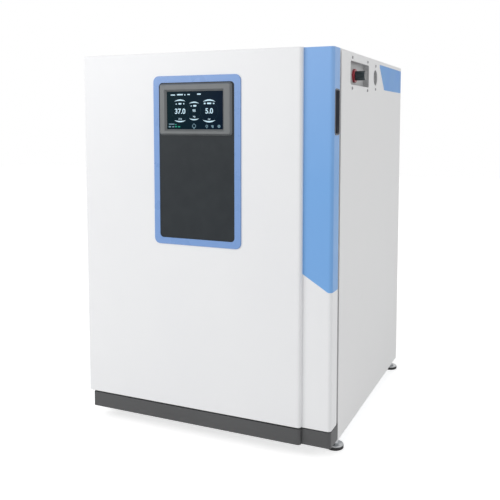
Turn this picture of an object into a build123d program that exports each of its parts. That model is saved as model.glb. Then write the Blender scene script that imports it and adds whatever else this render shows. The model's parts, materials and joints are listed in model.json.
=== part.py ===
from build123d import *
import os
from math import cos, radians, sin

# Carbon dioxide incubator: a heated, air-jacketed cabinet on four levelling feet.
# An outer door hangs on the left and a glass inner door closes the chamber behind it.
# While it is drawn, x = 0 is the cabinet's middle, y = 0 the outer door's front face
# and z = 0 the floor. All sizes are in millimetres.

# Cabinet
cabinet_width = 645
cabinet_depth = 626
total_height = 920
ground_gap = 26
sheet = 1.2
cabinet_edge_radius = 3
rear_return = 12
base_lip = 22
fit = 0.3
cut_margin = 1

# Outer door and plinth
door_depth = 54
door_gap = 12
column_width = 68
column_set_back = 10
column_drop = 1
door_edge_radius = 4
panel_edge_radius = 8
column_edge_radius = 8
door_rim_radius = 2
skin_return_gap = 18
plinth_bottom = 30
plinth_height = 36.5
plinth_inset = 13
door_lift = 2.5

# Blue film on the column
film = 0.3
film_front_length = 498
film_side_length = 535
film_slope_inset = 8.5

# Walls round the chamber, the compartment above it and the chamber's own steel
side_wall = 72.5
rear_wall = 107
floor_wall = 94
compartment_height = 105
insulation_top = 45
chamber_corner_radius = 22
liner_flange = 14
heater = 1
heater_margin = 40
frame_return = 10

# Recess for the glass door, and its seals
recess_margin = 18
recess_depth = 14
recess_corner_radius = 12
seal_margin = 4
seal_width = 16
seal_foot_width = 10
seal_foot = 3
seal_corner_radius = 14
glass_seal_width = 11
glass_seal_thickness = 4.5
glass_thickness = 5
glass_corner_radius = 5
glass_left_margin = 13
glass_side_margin = 6
liner_recess = 6
dish_margin = 2

# Hinges of the outer door
hinge_reach = 8
hinge_radius = 6
hinge_pin_radius = 3
hinge_running_gap = 0.05
hinge_knuckle = 30
hinge_leaf = 3
hinge_leaf_reach = 32
low_hinge_rise = 101
high_hinge_drop = 90

# Hinges and latch of the glass door
glass_hinge_inset = 7
glass_hinge_radius = 4
glass_pin_radius = 2
glass_knuckle = 20
glass_arm = 3
glass_strap = 2.5
glass_strap_reach = 31
glass_hinge_end_gap = 98
latch_inset = 28
latch_hub_radius = 10
latch_hub_height = 6
latch_hub_edge = 1
latch_reach = 22
latch_thickness = 4
latch_width = 11
latch_spindle_radius = 4
latch_nut_radius = 7
latch_nut = 2.5
keeper_thickness = 3
keeper_reach = 12
keeper_height = 20

# Control panel on the outer door
control_inset = 219
control_width = 196.5
control_height = 366.5
control_drop = 70.5
panel_thickness = 3
panel_proud = 1.8
panel_corner_radius = 9
surround_border = 16
surround_proud = 2.5
surround_corner_radius = 14
surround_bevel = 0.8
bezel_height = 121
bezel_proud = 8
bezel_bevel = 4
bezel_top_gap = 1.5
bezel_left_gap = 1.5
bezel_right_gap = 5
bezel_corner_radius = 7
bezel_inner_bevel = 4.5
screen_border_left = 20.25
screen_border_right = 22.75
screen_border_low = 14
screen_border_high = 19
screen_thickness = 1.5
backbox_margin = 8
backbox_depth = 32
board_thickness = 1.6
board_margin = 12
board_lift = 8
standoff_radius = 3

# Recessed handle and its lock, in the column's right side
handle_length = 101
handle_drop = 90
handle_front_gap = 0.5
handle_back_gap = 1
handle_corner_radius = 8
handle_rim = 1.2
handle_border = 3.5
handle_recess = 16
handle_wall = 1.6
lock_back_inset = 12.5
lock_rise = 12
lock_boss_radius = 7
lock_boss_height = 9
lock_radius = 5
lock_running_gap = 0.05
lock_head_radius = 6
lock_head = 1.2
lock_barrel_inner = 18
key_slot_width = 1.4
key_slot_height = 6
key_slot_depth = 3
tongue_thickness = 3
tongue_width = 12
tongue_end = 5
tongue_slot_margin = 2
strike_stand_off = 6
strike_pin_radius = 2.5
strike_clearance = 0.7
strike_cheek = 2
strike_cheek_gap = 7
strike_height = 16

# Feet
foot_radius = 21
foot_disc = 9
foot_pad = 4
foot_pad_lip = 1.2
foot_rim = 8
foot_dome = 3
foot_side_inset = 13
foot_front_inset = 20
foot_rear_inset = 28
foot_stem_radius = 5
foot_stem_length = 46
foot_nut_radius = 8
foot_nut_height = 20
foot_hex_radius = 8
foot_hex = 5
foot_running_gap = 0.1

# Right side: switch recess, service port and label
recess_set_back = 157.5
recess_drop = 48.2
recess_length = 170
recess_height = 55
switch_recess_depth = 15
switch_corner_radius = 6
tray_flange = 12
screw_inset_y = 15
screw_outset_z = 7.75
switch_shift_y = -3.5
switch_shift_z = -2.8
escutcheon_radius = 16.5
escutcheon_thickness = 5
escutcheon_tab = 4
escutcheon_bevel = 0.5
knob_radius = 11.3
knob_length = 24
knob_flute_radius = 1.6
knob_flutes = 10
knob_mark = 1
knob_shaft_radius = 4
switch_body_size = 34
port_set_back = 309.5
port_drop = 47
port_radius = 20
port_wall = 2
port_depth = 12
port_bore_radius = 11
port_tube_length = 26
port_screw_gap = 9.75
port_flange_width = 16
cap_head_radius = 15
cap_head = 4
cap_head_edge = 1
cap_grip = 2
cap_plug_length = 16
label_top_gap = 10
label_height = 65
label_set_back = 350
label_slope = 59
label_rear_margin = 3
label_radius = 4
screw_head_radius = 3.4
screw_head = 1.6
screw_radius = 2
screw_length = 7

# Fan, plenum and filter
tray_lip = 15
motor_radius = 42
motor_height = 52
motor_flange_radius = 50
motor_flange = 4
impeller_radius = 74
impeller_inner_radius = 34
impeller_height = 30
impeller_plate = 2
impeller_hub_radius = 15
impeller_drop = 14
blade_count = 9
blade_thickness = 2
blade_end_gap = 1
blade_curve_radius = 46
blade_curve_offset = 30
shaft_radius = 4
shaft_gap = 2
shaft_running_gap = 0.05
plenum_side_gap = 30
plenum_front_gap = 32
plenum_rear_gap = 33
plenum_height = 52
plenum_inlet_radius = 60
plenum_slot_length = 60
plenum_slot_width = 6
plenum_slots = 12
filter_radius = 88
filter_height = 42
filter_rim = 5
filter_pleats = 24
filter_pleat_depth = 6

# Racks, shelves, water pan and sensors
rack_front_gap = 50
rack_rear_gap = 55
rack_floor_gap = 30
rack_top_rise = 160
rack_depth = 12
rack_post_width = 18
rack_leg = 13
rack_rise = 14
rack_steel = 1.5
shelf_count = 3
low_shelf_rise = 130
high_shelf_drop = 146
shelf_steel = 1.2
shelf_lip = 14
shelf_overhang = 10
shelf_side_gap = 1.5
slot_length = 50
slot_width = 9
slot_pitch_x = 70
slot_pitch_y = 44
pan_side_gap = 40
pan_end_gap = 5
pan_height = 34
pan_corner_radius = 24
pan_rim = 6
sensor_radius = 13
sensor_length = 52
sensor_nose_edge = 1.5
sensor_slot_pitch = 9
sensor_slot_width = 2
sensor_side_gap = 100
sensor_drop = 130
probe_radius = 3
probe_length = 60
probe_side_gap = 60

# Equipment on the tray
supply_size = (150, 100, 48)
supply_vents = 8
supply_vent_width = 4
supply_vent_depth = 2
supply_vent_length = 66
supply_inset = 122.5
supply_set_back = 164
circuit_size = (160, 120)
relay_size = (30, 40, 18)
relay_offset = -35
chip_size = (40, 40, 6)
chip_offset = 25
circuit_inset = 152.5
circuit_rear_gap = 272
valve_size = (34, 46, 30)
coil_radius = 14
coil_height = 28
valve_rear_gap = 132

# Rear
gas_inset = 92.5
gas_barb_length = 22
gas_barb_radius = 4.5
gas_barb_neck_radius = 3.5
gas_barbs = 3
gas_bore_radius = 2.2
gas_nut_radius = 9
gas_nut = 5
gas_body_radius = 6
gas_body_length = 26
inlets_drop = 54
mains_inset = 86.5
mains_width = 50
mains_height = 28
mains_flange = 2.5
mains_depth = 24
mains_socket_width = 25
mains_socket_height = 17
mains_socket_depth = 16
mains_blade = (2, 4)
mains_blade_pitch = 7
vent_count = 12
vent_length = 4
vent_height = 46
vent_pitch = 14

# Cabinet, door and column, worked out from the sizes above
half_width = cabinet_width / 2
inner_half = half_width - sheet
cabinet_front = door_depth + door_gap
cabinet_back = cabinet_front + cabinet_depth
step_x = half_width - column_width
door_bottom = plinth_bottom + plinth_height + door_lift
column_top = total_height - column_drop
skin_return = door_depth - skin_return_gap
film_front_bottom = column_top - film_front_length
film_side_bottom = column_top - film_side_length
film_slope_end = half_width - film_slope_inset

# Chamber, recess and glass door
tray_level = total_height - compartment_height
chamber_top = tray_level - insulation_top
chamber_bottom = ground_gap + floor_wall
chamber_half = half_width - side_wall
chamber_front = cabinet_front + recess_depth
chamber_back = cabinet_back - rear_wall
frame_back = cabinet_front + frame_return
recess_half = chamber_half + recess_margin
recess_low = chamber_bottom - recess_margin
recess_high = chamber_top + recess_margin
glass_back = chamber_front - sheet - glass_seal_thickness - fit
glass_front = glass_back - glass_thickness
glass_hinge_x = glass_hinge_inset - recess_half
glass_hinge_y = glass_back - glass_hinge_radius - fit
glass_hinge_heights = (recess_low + glass_hinge_end_gap, recess_high - glass_hinge_end_gap)
latch_x = recess_half - latch_inset
latch_z = (chamber_bottom + chamber_top) / 2
hinge_x = -half_width - hinge_reach
hinge_y = cabinet_front - hinge_radius
hinge_heights = (door_bottom + low_hinge_rise, total_height - high_hinge_drop)

# Inside the chamber
plenum_half = chamber_half - plenum_side_gap
plenum_front = chamber_front + plenum_front_gap
plenum_back = chamber_back - plenum_rear_gap
fan_y = (plenum_front + plenum_back) / 2
filter_low = chamber_top - plenum_height - filter_height
rack_front = chamber_front + rack_front_gap
rack_back = chamber_back - rack_rear_gap
rack_middle = (rack_front + rack_back) / 2
rack_bottom = chamber_bottom + rack_floor_gap
low_shelf = chamber_bottom + low_shelf_rise
high_shelf = filter_low - high_shelf_drop
shelf_pitch = (high_shelf - low_shelf) / (shelf_count - 1)
shelf_levels = [low_shelf + index * shelf_pitch for index in range(shelf_count)]
rack_top = high_shelf + rack_top_rise
shelf_half = chamber_half - rack_depth - rack_steel - shelf_side_gap
shelf_length = rack_back - rack_front + 2 * shelf_overhang
pan_half = chamber_half - pan_side_gap
pan_length = rack_back - rack_front - 2 * pan_end_gap
sensor_x = chamber_half - sensor_side_gap
sensor_z = chamber_top - sensor_drop
probe_x = chamber_half - probe_side_gap

# Control panel and its screen
panel_left = control_inset - half_width
panel_right = panel_left + control_width
panel_high = total_height - control_drop
panel_low = panel_high - control_height
panel_front = -panel_proud
bezel_left = panel_left + bezel_left_gap
bezel_width = control_width - bezel_left_gap - bezel_right_gap
bezel_high = panel_high - bezel_top_gap
bezel_low = bezel_high - bezel_height
screen_width = bezel_width - screen_border_left - screen_border_right
screen_height = bezel_height - screen_border_low - screen_border_high
screen_x = bezel_left + screen_border_left + screen_width / 2
screen_low = bezel_low + screen_border_low

# Handle and lock
handle_top = total_height - handle_drop
handle_bottom = handle_top - handle_length
handle_front = column_set_back + column_edge_radius + handle_front_gap
handle_back = door_depth - handle_back_gap
lock_y = handle_back - lock_back_inset
lock_z = handle_bottom + lock_rise
lock_face = half_width - handle_recess + lock_boss_height
tongue_inner = lock_face - lock_barrel_inner
strike_y = cabinet_front - strike_stand_off
tongue_hook = strike_y - lock_y
tongue_reach = tongue_hook + tongue_end

# Right side
recess_y = cabinet_front + recess_set_back
recess_z = total_height - recess_drop
screw_spacing_y = recess_length - 2 * screw_inset_y
screw_spacing_z = recess_height + 2 * screw_outset_z
switch_floor = half_width - switch_recess_depth
switch_y = recess_y + switch_shift_y
switch_z = recess_z + switch_shift_z
knob_end = switch_floor + escutcheon_thickness + fit + knob_length
port_y = cabinet_front + port_set_back
port_z = total_height - port_drop
port_screw_spacing = 2 * (port_radius + port_screw_gap)
port_flange_radius = port_radius + port_flange_width
label_top = total_height - label_top_gap
label_low = label_top - label_height
label_front_top = cabinet_front + label_set_back
label_front_low = label_front_top + label_slope

# Equipment on the tray and on the rear
supply_x = supply_inset - half_width
supply_y = cabinet_front + supply_set_back
circuit_x = half_width - circuit_inset
circuit_y = cabinet_back - circuit_rear_gap
valve_x = gas_inset - half_width
valve_y = cabinet_back - valve_rear_gap
gas_x = gas_inset - half_width
gas_z = total_height - inlets_drop
gas_end = cabinet_back + gas_nut + gas_barb_length
mains_x = half_width - mains_inset
mains_z = total_height - inlets_drop

# The frame's origin is at the middle of the whole part, on the floor
left_reach = -hinge_x + hinge_radius
right_reach = knob_end
front_reach = bezel_proud
rear_reach = gas_end
to_frame = Location(((left_reach - right_reach) / 2, (front_reach - rear_reach) / 2, 0))


def save(name, shape):
    export_step(shape.moved(to_frame), f"parts/{name}.step")


def area(a_low, a_high, b_low, b_high, radius=0):
    """Rectangle between two corners, with round corners if a radius is given."""
    size = (a_high - a_low, b_high - b_low)
    shape = RectangleRounded(*size, radius) if radius else Rectangle(*size)
    return Pos((a_low + a_high) / 2, (b_low + b_high) / 2) * shape


def along_x(profile, start, end):
    """Side view, drawn in y and z, drawn out along x."""
    return Pos(start, 0, 0) * extrude(Plane.YZ * profile, amount=end - start)


def along_y(profile, start, end):
    """Front view, drawn in x and z, drawn out along y."""
    return Pos(0, end, 0) * extrude(Plane.XZ * profile, amount=end - start)


def along_z(profile, start, end):
    """Plan, drawn in x and y, drawn out along z."""
    return Pos(0, 0, start) * extrude(profile, amount=end - start)


def disc(centre_a, centre_b, radius):
    return Pos(centre_a, centre_b) * Circle(radius)


def group(shapes):
    return Compound(list(shapes))


# Sheet metal of the cabinet

def screw_places():
    """The y and z of the screws on the right side."""
    places = []
    for side_y in (-1, 1):
        for side_z in (-1, 1):
            places.append((recess_y + side_y * screw_spacing_y / 2, recess_z + side_z * screw_spacing_z / 2))
    for side_z in (-1, 1):
        places.append((port_y, port_z + side_z * port_screw_spacing / 2))
    return places


def wrap_profile(inset, low=ground_gap):
    """Front view of the cabinet, inset all round, with its two top corners rounded."""
    profile = area(inset - half_width, half_width - inset, low, total_height - inset)
    return fillet(profile.vertices().sort_by(Axis.Y)[-2:], cabinet_edge_radius - min(inset, sheet))


def make_cabinet_wrap():
    profile = wrap_profile(0) - wrap_profile(sheet, ground_gap - cut_margin)
    wrap = along_y(profile, cabinet_front, cabinet_back)
    holes = area(recess_y - recess_length / 2, recess_y + recess_length / 2,
                 recess_z - recess_height / 2, recess_z + recess_height / 2, switch_corner_radius)
    holes += disc(port_y, port_z, port_radius)
    for place in screw_places():
        holes += disc(*place, screw_radius + fit)
    return wrap - along_x(holes, inner_half - cut_margin, half_width + cut_margin)


def make_front_frame():
    """Folded face frame with the stepped recess for the glass door and the pins that carry it."""
    inset = sheet + fit
    frame = along_y(wrap_profile(inset), cabinet_front, frame_back)
    frame -= along_y(wrap_profile(inset + sheet, ground_gap + sheet), cabinet_front + sheet,
                     frame_back + cut_margin)
    recess = area(-recess_half, recess_half, recess_low, recess_high, recess_corner_radius)
    tray = area(-recess_half - sheet, recess_half + sheet, recess_low - sheet, recess_high + sheet,
                recess_corner_radius + sheet)
    mouth = area(-chamber_half, chamber_half, chamber_bottom, chamber_top, chamber_corner_radius)
    frame += along_y(tray, cabinet_front, chamber_front)
    frame -= along_y(recess, cabinet_front - cut_margin, chamber_front - sheet)
    frame -= along_y(mouth, cabinet_front, chamber_front + cut_margin)
    for z in glass_hinge_heights:
        frame += glass_hinge_post(z)
    return frame


def make_base_pan():
    """Folded pan under the cabinet, with a weld nut over each foot."""
    reach = inner_half - fit
    front = frame_back + fit
    back = cabinet_back - rear_return - fit
    floor = ground_gap + sheet
    pan = along_z(area(-reach, reach, front, back), ground_gap, ground_gap + base_lip)
    pan -= along_z(area(-reach + sheet, reach - sheet, front + sheet, back - sheet), floor,
                   ground_gap + base_lip + cut_margin)
    for x, y in foot_places():
        pan += along_z(disc(x, y, foot_nut_radius), floor, floor + foot_nut_height)
        pan -= along_z(disc(x, y, foot_stem_radius + foot_running_gap), ground_gap - cut_margin,
                       floor + foot_nut_height + cut_margin)
    return pan


def make_rear_panel():
    inset = sheet + fit
    panel = along_y(wrap_profile(inset), cabinet_back - rear_return, cabinet_back)
    panel -= along_y(wrap_profile(inset + sheet, ground_gap - cut_margin),
                     cabinet_back - rear_return - cut_margin, cabinet_back - sheet)
    holes = disc(gas_x, gas_z, gas_body_radius + fit)
    socket_half = mains_socket_width / 2 + fit + handle_wall
    socket_rise = mains_socket_height / 2 + fit + handle_wall
    holes += area(mains_x - socket_half, mains_x + socket_half, mains_z - socket_rise, mains_z + socket_rise)
    for index in range(vent_count):
        x = (index - (vent_count - 1) / 2) * vent_pitch
        holes += area(x - vent_length / 2, x + vent_length / 2,
                      gas_z - vent_height / 2, gas_z + vent_height / 2, vent_length / 2 - fit)
    return panel - along_y(holes, cabinet_back - sheet - cut_margin, cabinet_back + cut_margin)


def stepped_plan(left, wall=0):
    """Plan of the front with its set-back column, inset all round by a wall."""
    back = cabinet_front + (cut_margin if wall else 0)
    corners = [(left + wall, back), (left + wall, wall), (step_x - wall, wall),
               (step_x - wall, column_set_back + wall), (half_width - wall, column_set_back + wall),
               (half_width - wall, back)]
    plan = make_face(Polyline(*corners, close=True))
    plan = fillet(plan.vertices().sort_by_distance(Vector(*corners[4]))[0], column_edge_radius - wall)
    plan = fillet(plan.vertices().sort_by_distance(Vector(*corners[2]))[0], panel_edge_radius - wall)
    return fillet(plan.vertices().sort_by_distance(Vector(*corners[1]))[0], door_edge_radius - wall)


def make_plinth():
    left = plinth_inset - half_width
    top = plinth_bottom + plinth_height
    plinth = along_z(stepped_plan(left), plinth_bottom, top)
    return plinth - along_z(stepped_plan(left, sheet), plinth_bottom - cut_margin, top - sheet)


# Chamber

def chamber_solid(wall=0):
    """The chamber's rounded hollow, grown outwards by a wall."""
    radius = chamber_corner_radius + wall
    solid = along_y(area(-chamber_half - wall, chamber_half + wall, chamber_bottom - wall, chamber_top + wall,
                         radius), chamber_front, chamber_back + wall)
    return fillet(solid.faces().sort_by(Axis.Y)[-1].edges(), radius - fit)


def make_chamber_liner():
    liner = chamber_solid(sheet)
    reach = chamber_half + liner_flange
    flange = area(-reach, reach, chamber_bottom - liner_flange, chamber_top + liner_flange,
                  chamber_corner_radius)
    liner += along_y(flange, chamber_front, chamber_front + sheet)
    liner -= chamber_solid()
    liner -= along_z(disc(0, fan_y, shaft_radius + shaft_gap), chamber_top - cut_margin, tray_level)
    probes = disc(sensor_x, sensor_z, sensor_radius / 2 + fit) + disc(probe_x, sensor_z, probe_radius + fit)
    return liner - along_y(probes, chamber_back - cut_margin, chamber_back + sheet + cut_margin)


def make_heater_mats():
    """Thin heating mats on the outside of the liner: left, right, below and behind."""
    low = chamber_bottom + heater_margin
    high = chamber_top - heater_margin
    front = chamber_front + heater_margin
    back = chamber_back - heater_margin
    across = chamber_half - heater_margin
    wall = chamber_half + sheet
    floor = chamber_bottom - sheet
    rear_wall = chamber_back + sheet
    mats = [along_x(area(front, back, low, high), wall, wall + heater),
            along_x(area(front, back, low, high), -wall - heater, -wall),
            along_z(area(-across, across, front, back), floor - heater, floor)]
    mats.append(along_y(area(-across, across, low, sensor_z - heater_margin), rear_wall, rear_wall + heater))
    return group(mats)


def make_insulation():
    reach = inner_half - fit - sheet - fit
    front = chamber_front + sheet + fit
    back = cabinet_back - rear_return - fit - sheet - fit
    block = along_z(area(-reach, reach, front, back), ground_gap + sheet + fit, tray_level)
    block -= chamber_solid(sheet + heater + fit)
    block -= along_z(disc(0, fan_y, shaft_radius + shaft_gap), chamber_top, tray_level + cut_margin)
    pocket_top = max(foot_stem_length, ground_gap + sheet + foot_nut_height) + fit
    for x, y in foot_places():
        side = 1 if x > 0 else -1
        pocket = area(*sorted((x - side * (foot_nut_radius + fit), side * (reach + cut_margin))),
                      y - foot_nut_radius - fit, y + foot_nut_radius + fit)
        block -= along_z(pocket, ground_gap, pocket_top)
    lead = disc(sensor_x, sensor_z, sensor_radius / 2 + fit) + disc(probe_x, sensor_z, probe_radius + fit)
    return block - along_y(lead, chamber_back, back + cut_margin)


def make_equipment_tray():
    reach = inner_half - port_wall - 2 * fit
    front = frame_back + fit
    back = cabinet_back - rear_return - fit
    tray = along_z(area(-reach, reach, front, back), tray_level, tray_level + tray_lip)
    tray -= along_z(area(-reach - cut_margin, reach + cut_margin, front + sheet, back - sheet),
                    tray_level + sheet, tray_level + tray_lip + cut_margin)
    return tray - along_z(disc(0, fan_y, shaft_radius + shaft_gap), tray_level - cut_margin,
                          tray_level + sheet + cut_margin)


def make_glass_seal():
    mouth = area(-chamber_half, chamber_half, chamber_bottom, chamber_top, chamber_corner_radius)
    reach = chamber_half + glass_seal_width
    around = area(-reach, reach, chamber_bottom - glass_seal_width, chamber_top + glass_seal_width,
                  chamber_corner_radius + glass_seal_width)
    back = chamber_front - sheet
    return along_y(around - mouth, back - glass_seal_thickness, back)


def make_plenum():
    half = plenum_half
    low = chamber_top - plenum_height
    plenum = along_z(area(-half, half, plenum_front, plenum_back, cabinet_edge_radius), low, chamber_top)
    hollow = area(-half + sheet, half - sheet, plenum_front + sheet, plenum_back - sheet,
                  cabinet_edge_radius - sheet)
    plenum -= along_z(hollow, low + sheet, chamber_top + cut_margin)
    holes = disc(0, fan_y, plenum_inlet_radius)
    for index in range(plenum_slots):
        y = plenum_front + (index + 0.5) * (plenum_back - plenum_front) / plenum_slots
        for side in (-1, 1):
            x = side * (half - plenum_slot_length / 2 - 2 * plenum_slot_width)
            holes += area(x - plenum_slot_length / 2, x + plenum_slot_length / 2,
                          y - plenum_slot_width / 2, y + plenum_slot_width / 2)
    return plenum - along_z(holes, low - cut_margin, low + sheet + cut_margin)


def make_filter():
    high = chamber_top - plenum_height
    low = filter_low
    body = along_z(disc(0, fan_y, filter_radius), low, high)
    media = along_z(disc(0, fan_y, filter_radius - filter_rim), low - cut_margin, high - filter_rim)
    body -= media
    pleats = Pos(0, fan_y) * Circle(filter_radius - filter_rim)
    pleats -= Pos(0, fan_y) * Circle(filter_radius - 2 * filter_rim - filter_pleat_depth)
    for index in range(filter_pleats):
        angle = 360 * index / filter_pleats
        fold = Pos(0, fan_y) * Rot(0, 0, angle) * Pos(filter_radius - filter_rim, 0)
        pleats -= fold * Rectangle(2 * filter_pleat_depth, filter_pleat_depth)
    body += along_z(pleats, low, high - filter_rim)
    return body - along_z(disc(0, fan_y, plenum_inlet_radius - filter_rim), high - filter_rim - cut_margin,
                          high + cut_margin)


def make_impeller():
    top = chamber_top - impeller_drop
    low = top - impeller_height
    wheel = along_z(disc(0, 0, impeller_radius), top - impeller_plate, top)
    shroud = disc(0, 0, impeller_radius) - disc(0, 0, plenum_inlet_radius)
    wheel += along_z(shroud, low, low + impeller_plate)
    wheel += along_z(disc(0, 0, impeller_hub_radius), top - impeller_height / 2, top)
    ring = Circle(blade_curve_radius + blade_thickness / 2) - Circle(blade_curve_radius - blade_thickness / 2)
    ring = Pos(blade_curve_offset, 0) * ring
    band = Circle(impeller_radius - blade_end_gap) - Circle(impeller_inner_radius)
    blade = ring & band & area(-impeller_radius, impeller_radius, 0, impeller_radius)
    blade = along_z(blade, low, top - impeller_plate / 2)
    for index in range(blade_count):
        wheel += Rot(0, 0, 360 * index / blade_count) * blade
    shaft_top = tray_level + sheet + motor_height / 2
    wheel += along_z(disc(0, 0, shaft_radius), top - cut_margin, shaft_top)
    return Pos(0, fan_y, 0) * wheel


def make_fan_motor():
    low = tray_level + sheet
    top = low + motor_height
    motor = along_z(disc(0, fan_y, motor_flange_radius), low, low + motor_flange)
    motor += along_z(disc(0, fan_y, motor_radius), low, top)
    motor = chamfer(motor.edges().group_by(Axis.Z)[-1], motor_flange / 2)
    bore = disc(0, fan_y, shaft_radius + shaft_running_gap)
    return motor - along_z(bore, low - cut_margin, low + motor_height / 2 + fit)


def make_sensor(x, radius, stem_radius, length, slots):
    """A probe that stands out of the rear wall; its stem goes back through the wall."""
    head = along_y(disc(x, sensor_z, radius), chamber_back - length, chamber_back)
    head = chamfer(head.edges().group_by(Axis.Y)[0], sensor_nose_edge)
    if slots:
        for side in (-1, 1):
            middle = sensor_z + side * sensor_slot_pitch / 2
            gap = area(x - radius - cut_margin, x + radius + cut_margin, middle - sensor_slot_width / 2,
                       middle + sensor_slot_width / 2)
            head -= along_y(gap, chamber_back - length + radius / 2, chamber_back - length / 2)
    stem = along_y(disc(x, sensor_z, stem_radius), chamber_back - cut_margin, chamber_back + insulation_top)
    return head + stem


def make_rack(side):
    """Two wall posts and one angle for each shelf, for the left or right wall."""
    wall = side * chamber_half
    face = wall - side * rack_depth
    rack = None
    for y in (rack_front, rack_back):
        post = area(*sorted((face, wall)), y - rack_post_width / 2, y + rack_post_width / 2)
        hollow = area(*sorted((face + side * rack_steel, wall + side * cut_margin)),
                      y - rack_post_width / 2 + rack_steel, y + rack_post_width / 2 - rack_steel)
        post = along_z(post - hollow, rack_bottom, rack_top)
        rack = post if rack is None else rack + post
    front = rack_front - rack_post_width / 2
    back = rack_back + rack_post_width / 2
    for level in shelf_levels:
        angle = area(*sorted((face, face - side * rack_leg)), level - rack_steel, level)
        angle += area(*sorted((face, face - side * rack_steel)), level - rack_steel, level + rack_rise)
        rack += along_y(angle, front, back)
    return rack


def make_shelf(level):
    """Perforated plate with its front and rear edges turned up."""
    front = rack_middle - shelf_length / 2
    back = rack_middle + shelf_length / 2
    profile = area(front, back, level, level + shelf_lip)
    profile = fillet(profile.vertices().sort_by(Axis.Y)[:2], cabinet_edge_radius)
    hollow = area(front + shelf_steel, back - shelf_steel, level + shelf_steel,
                  level + shelf_lip + cut_margin)
    hollow = fillet(hollow.vertices().sort_by(Axis.Y)[:2], cabinet_edge_radius - shelf_steel)
    shelf = along_x(profile - hollow, -shelf_half, shelf_half)
    columns = int(2 * shelf_half / slot_pitch_x)
    rows = int((shelf_length - slot_pitch_y) / slot_pitch_y)
    holes = None
    for row in range(rows):
        for column in range(columns):
            x = (column - (columns - 1) / 2) * slot_pitch_x
            y = rack_middle + (row - (rows - 1) / 2) * slot_pitch_y
            hole = area(x - slot_length / 2, x + slot_length / 2, y - slot_width / 2, y + slot_width / 2)
            holes = hole if holes is None else holes + hole
    return shelf - along_z(holes, level - cut_margin, level + shelf_steel + cut_margin)


def make_water_pan():
    half = pan_half
    front = rack_middle - pan_length / 2
    back = rack_middle + pan_length / 2
    low = chamber_bottom
    top = low + pan_height
    pan = along_z(area(-half, half, front, back, pan_corner_radius), low, top)
    pan = fillet(pan.edges().group_by(Axis.Z)[0], cabinet_edge_radius)
    rim = area(-half - pan_rim, half + pan_rim, front - pan_rim, back + pan_rim, pan_corner_radius + pan_rim)
    pan += along_z(rim, top - sheet, top)
    hollow = area(-half + sheet, half - sheet, front + sheet, back - sheet, pan_corner_radius - sheet)
    return pan - along_z(hollow, low + sheet, top + cut_margin)


# Equipment in the top compartment and on the rear

def make_power_supply():
    length, width, height = supply_size
    low = tray_level + sheet
    plan = area(supply_x - length / 2, supply_x + length / 2, supply_y - width / 2, supply_y + width / 2)
    case = along_z(plan, low, low + height)
    half = supply_vent_length / 2
    for index in range(supply_vents):
        x = supply_x + (index + 0.5 - supply_vents / 2) * length / (supply_vents + 1)
        slot = area(x - supply_vent_width / 2, x + supply_vent_width / 2, supply_y - half, supply_y + half)
        case -= along_z(slot, low + height - supply_vent_depth, low + height + cut_margin)
    return case


def make_control_board():
    length, width = circuit_size
    low = tray_level + sheet
    deck = low + board_lift
    plan = area(circuit_x - length / 2, circuit_x + length / 2, circuit_y - width / 2, circuit_y + width / 2)
    board = along_z(plan, deck, deck + board_thickness)
    for side_x in (-1, 1):
        for side_y in (-1, 1):
            x = circuit_x + side_x * (length / 2 - board_margin / 2)
            y = circuit_y + side_y * (width / 2 - board_margin / 2)
            board += along_z(disc(x, y, standoff_radius), low, deck)
    for size, offset in ((relay_size, relay_offset), (chip_size, chip_offset)):
        block_length, block_width, block_height = size
        x = circuit_x + offset
        block = area(x - block_length / 2, x + block_length / 2, circuit_y - block_width / 2,
                     circuit_y + block_width / 2)
        board += along_z(block, deck, deck + block_height)
    return board


def make_gas_valve():
    length, width, height = valve_size
    low = tray_level + sheet
    plan = area(valve_x - length / 2, valve_x + length / 2, valve_y - width / 2, valve_y + width / 2)
    body = along_z(plan, low, low + height)
    return body + along_z(disc(valve_x, valve_y, coil_radius), low + height, low + height + coil_height)


def make_gas_inlet():
    """Hose barb with its nut outside the rear panel and its body inside."""
    inside = cabinet_back - sheet - gas_body_length
    body = along_y(disc(gas_x, gas_z, gas_body_radius), inside, cabinet_back + gas_nut)
    body += along_y(disc(gas_x, gas_z, gas_nut_radius), cabinet_back - sheet - gas_nut, cabinet_back - sheet)
    nut = Pos(gas_x, gas_z) * RegularPolygon(gas_nut_radius, 6)
    body += along_y(nut, cabinet_back, cabinet_back + gas_nut)
    length = gas_barb_length / gas_barbs
    for index in range(gas_barbs):
        middle = cabinet_back + gas_nut + (index + 0.5) * length
        cone = Cone(gas_barb_radius, gas_barb_neck_radius, length)
        body += Pos(gas_x, middle, gas_z) * Rot(-90, 0, 0) * cone
    return body - along_y(disc(gas_x, gas_z, gas_bore_radius), inside - cut_margin, gas_end + cut_margin)


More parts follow.
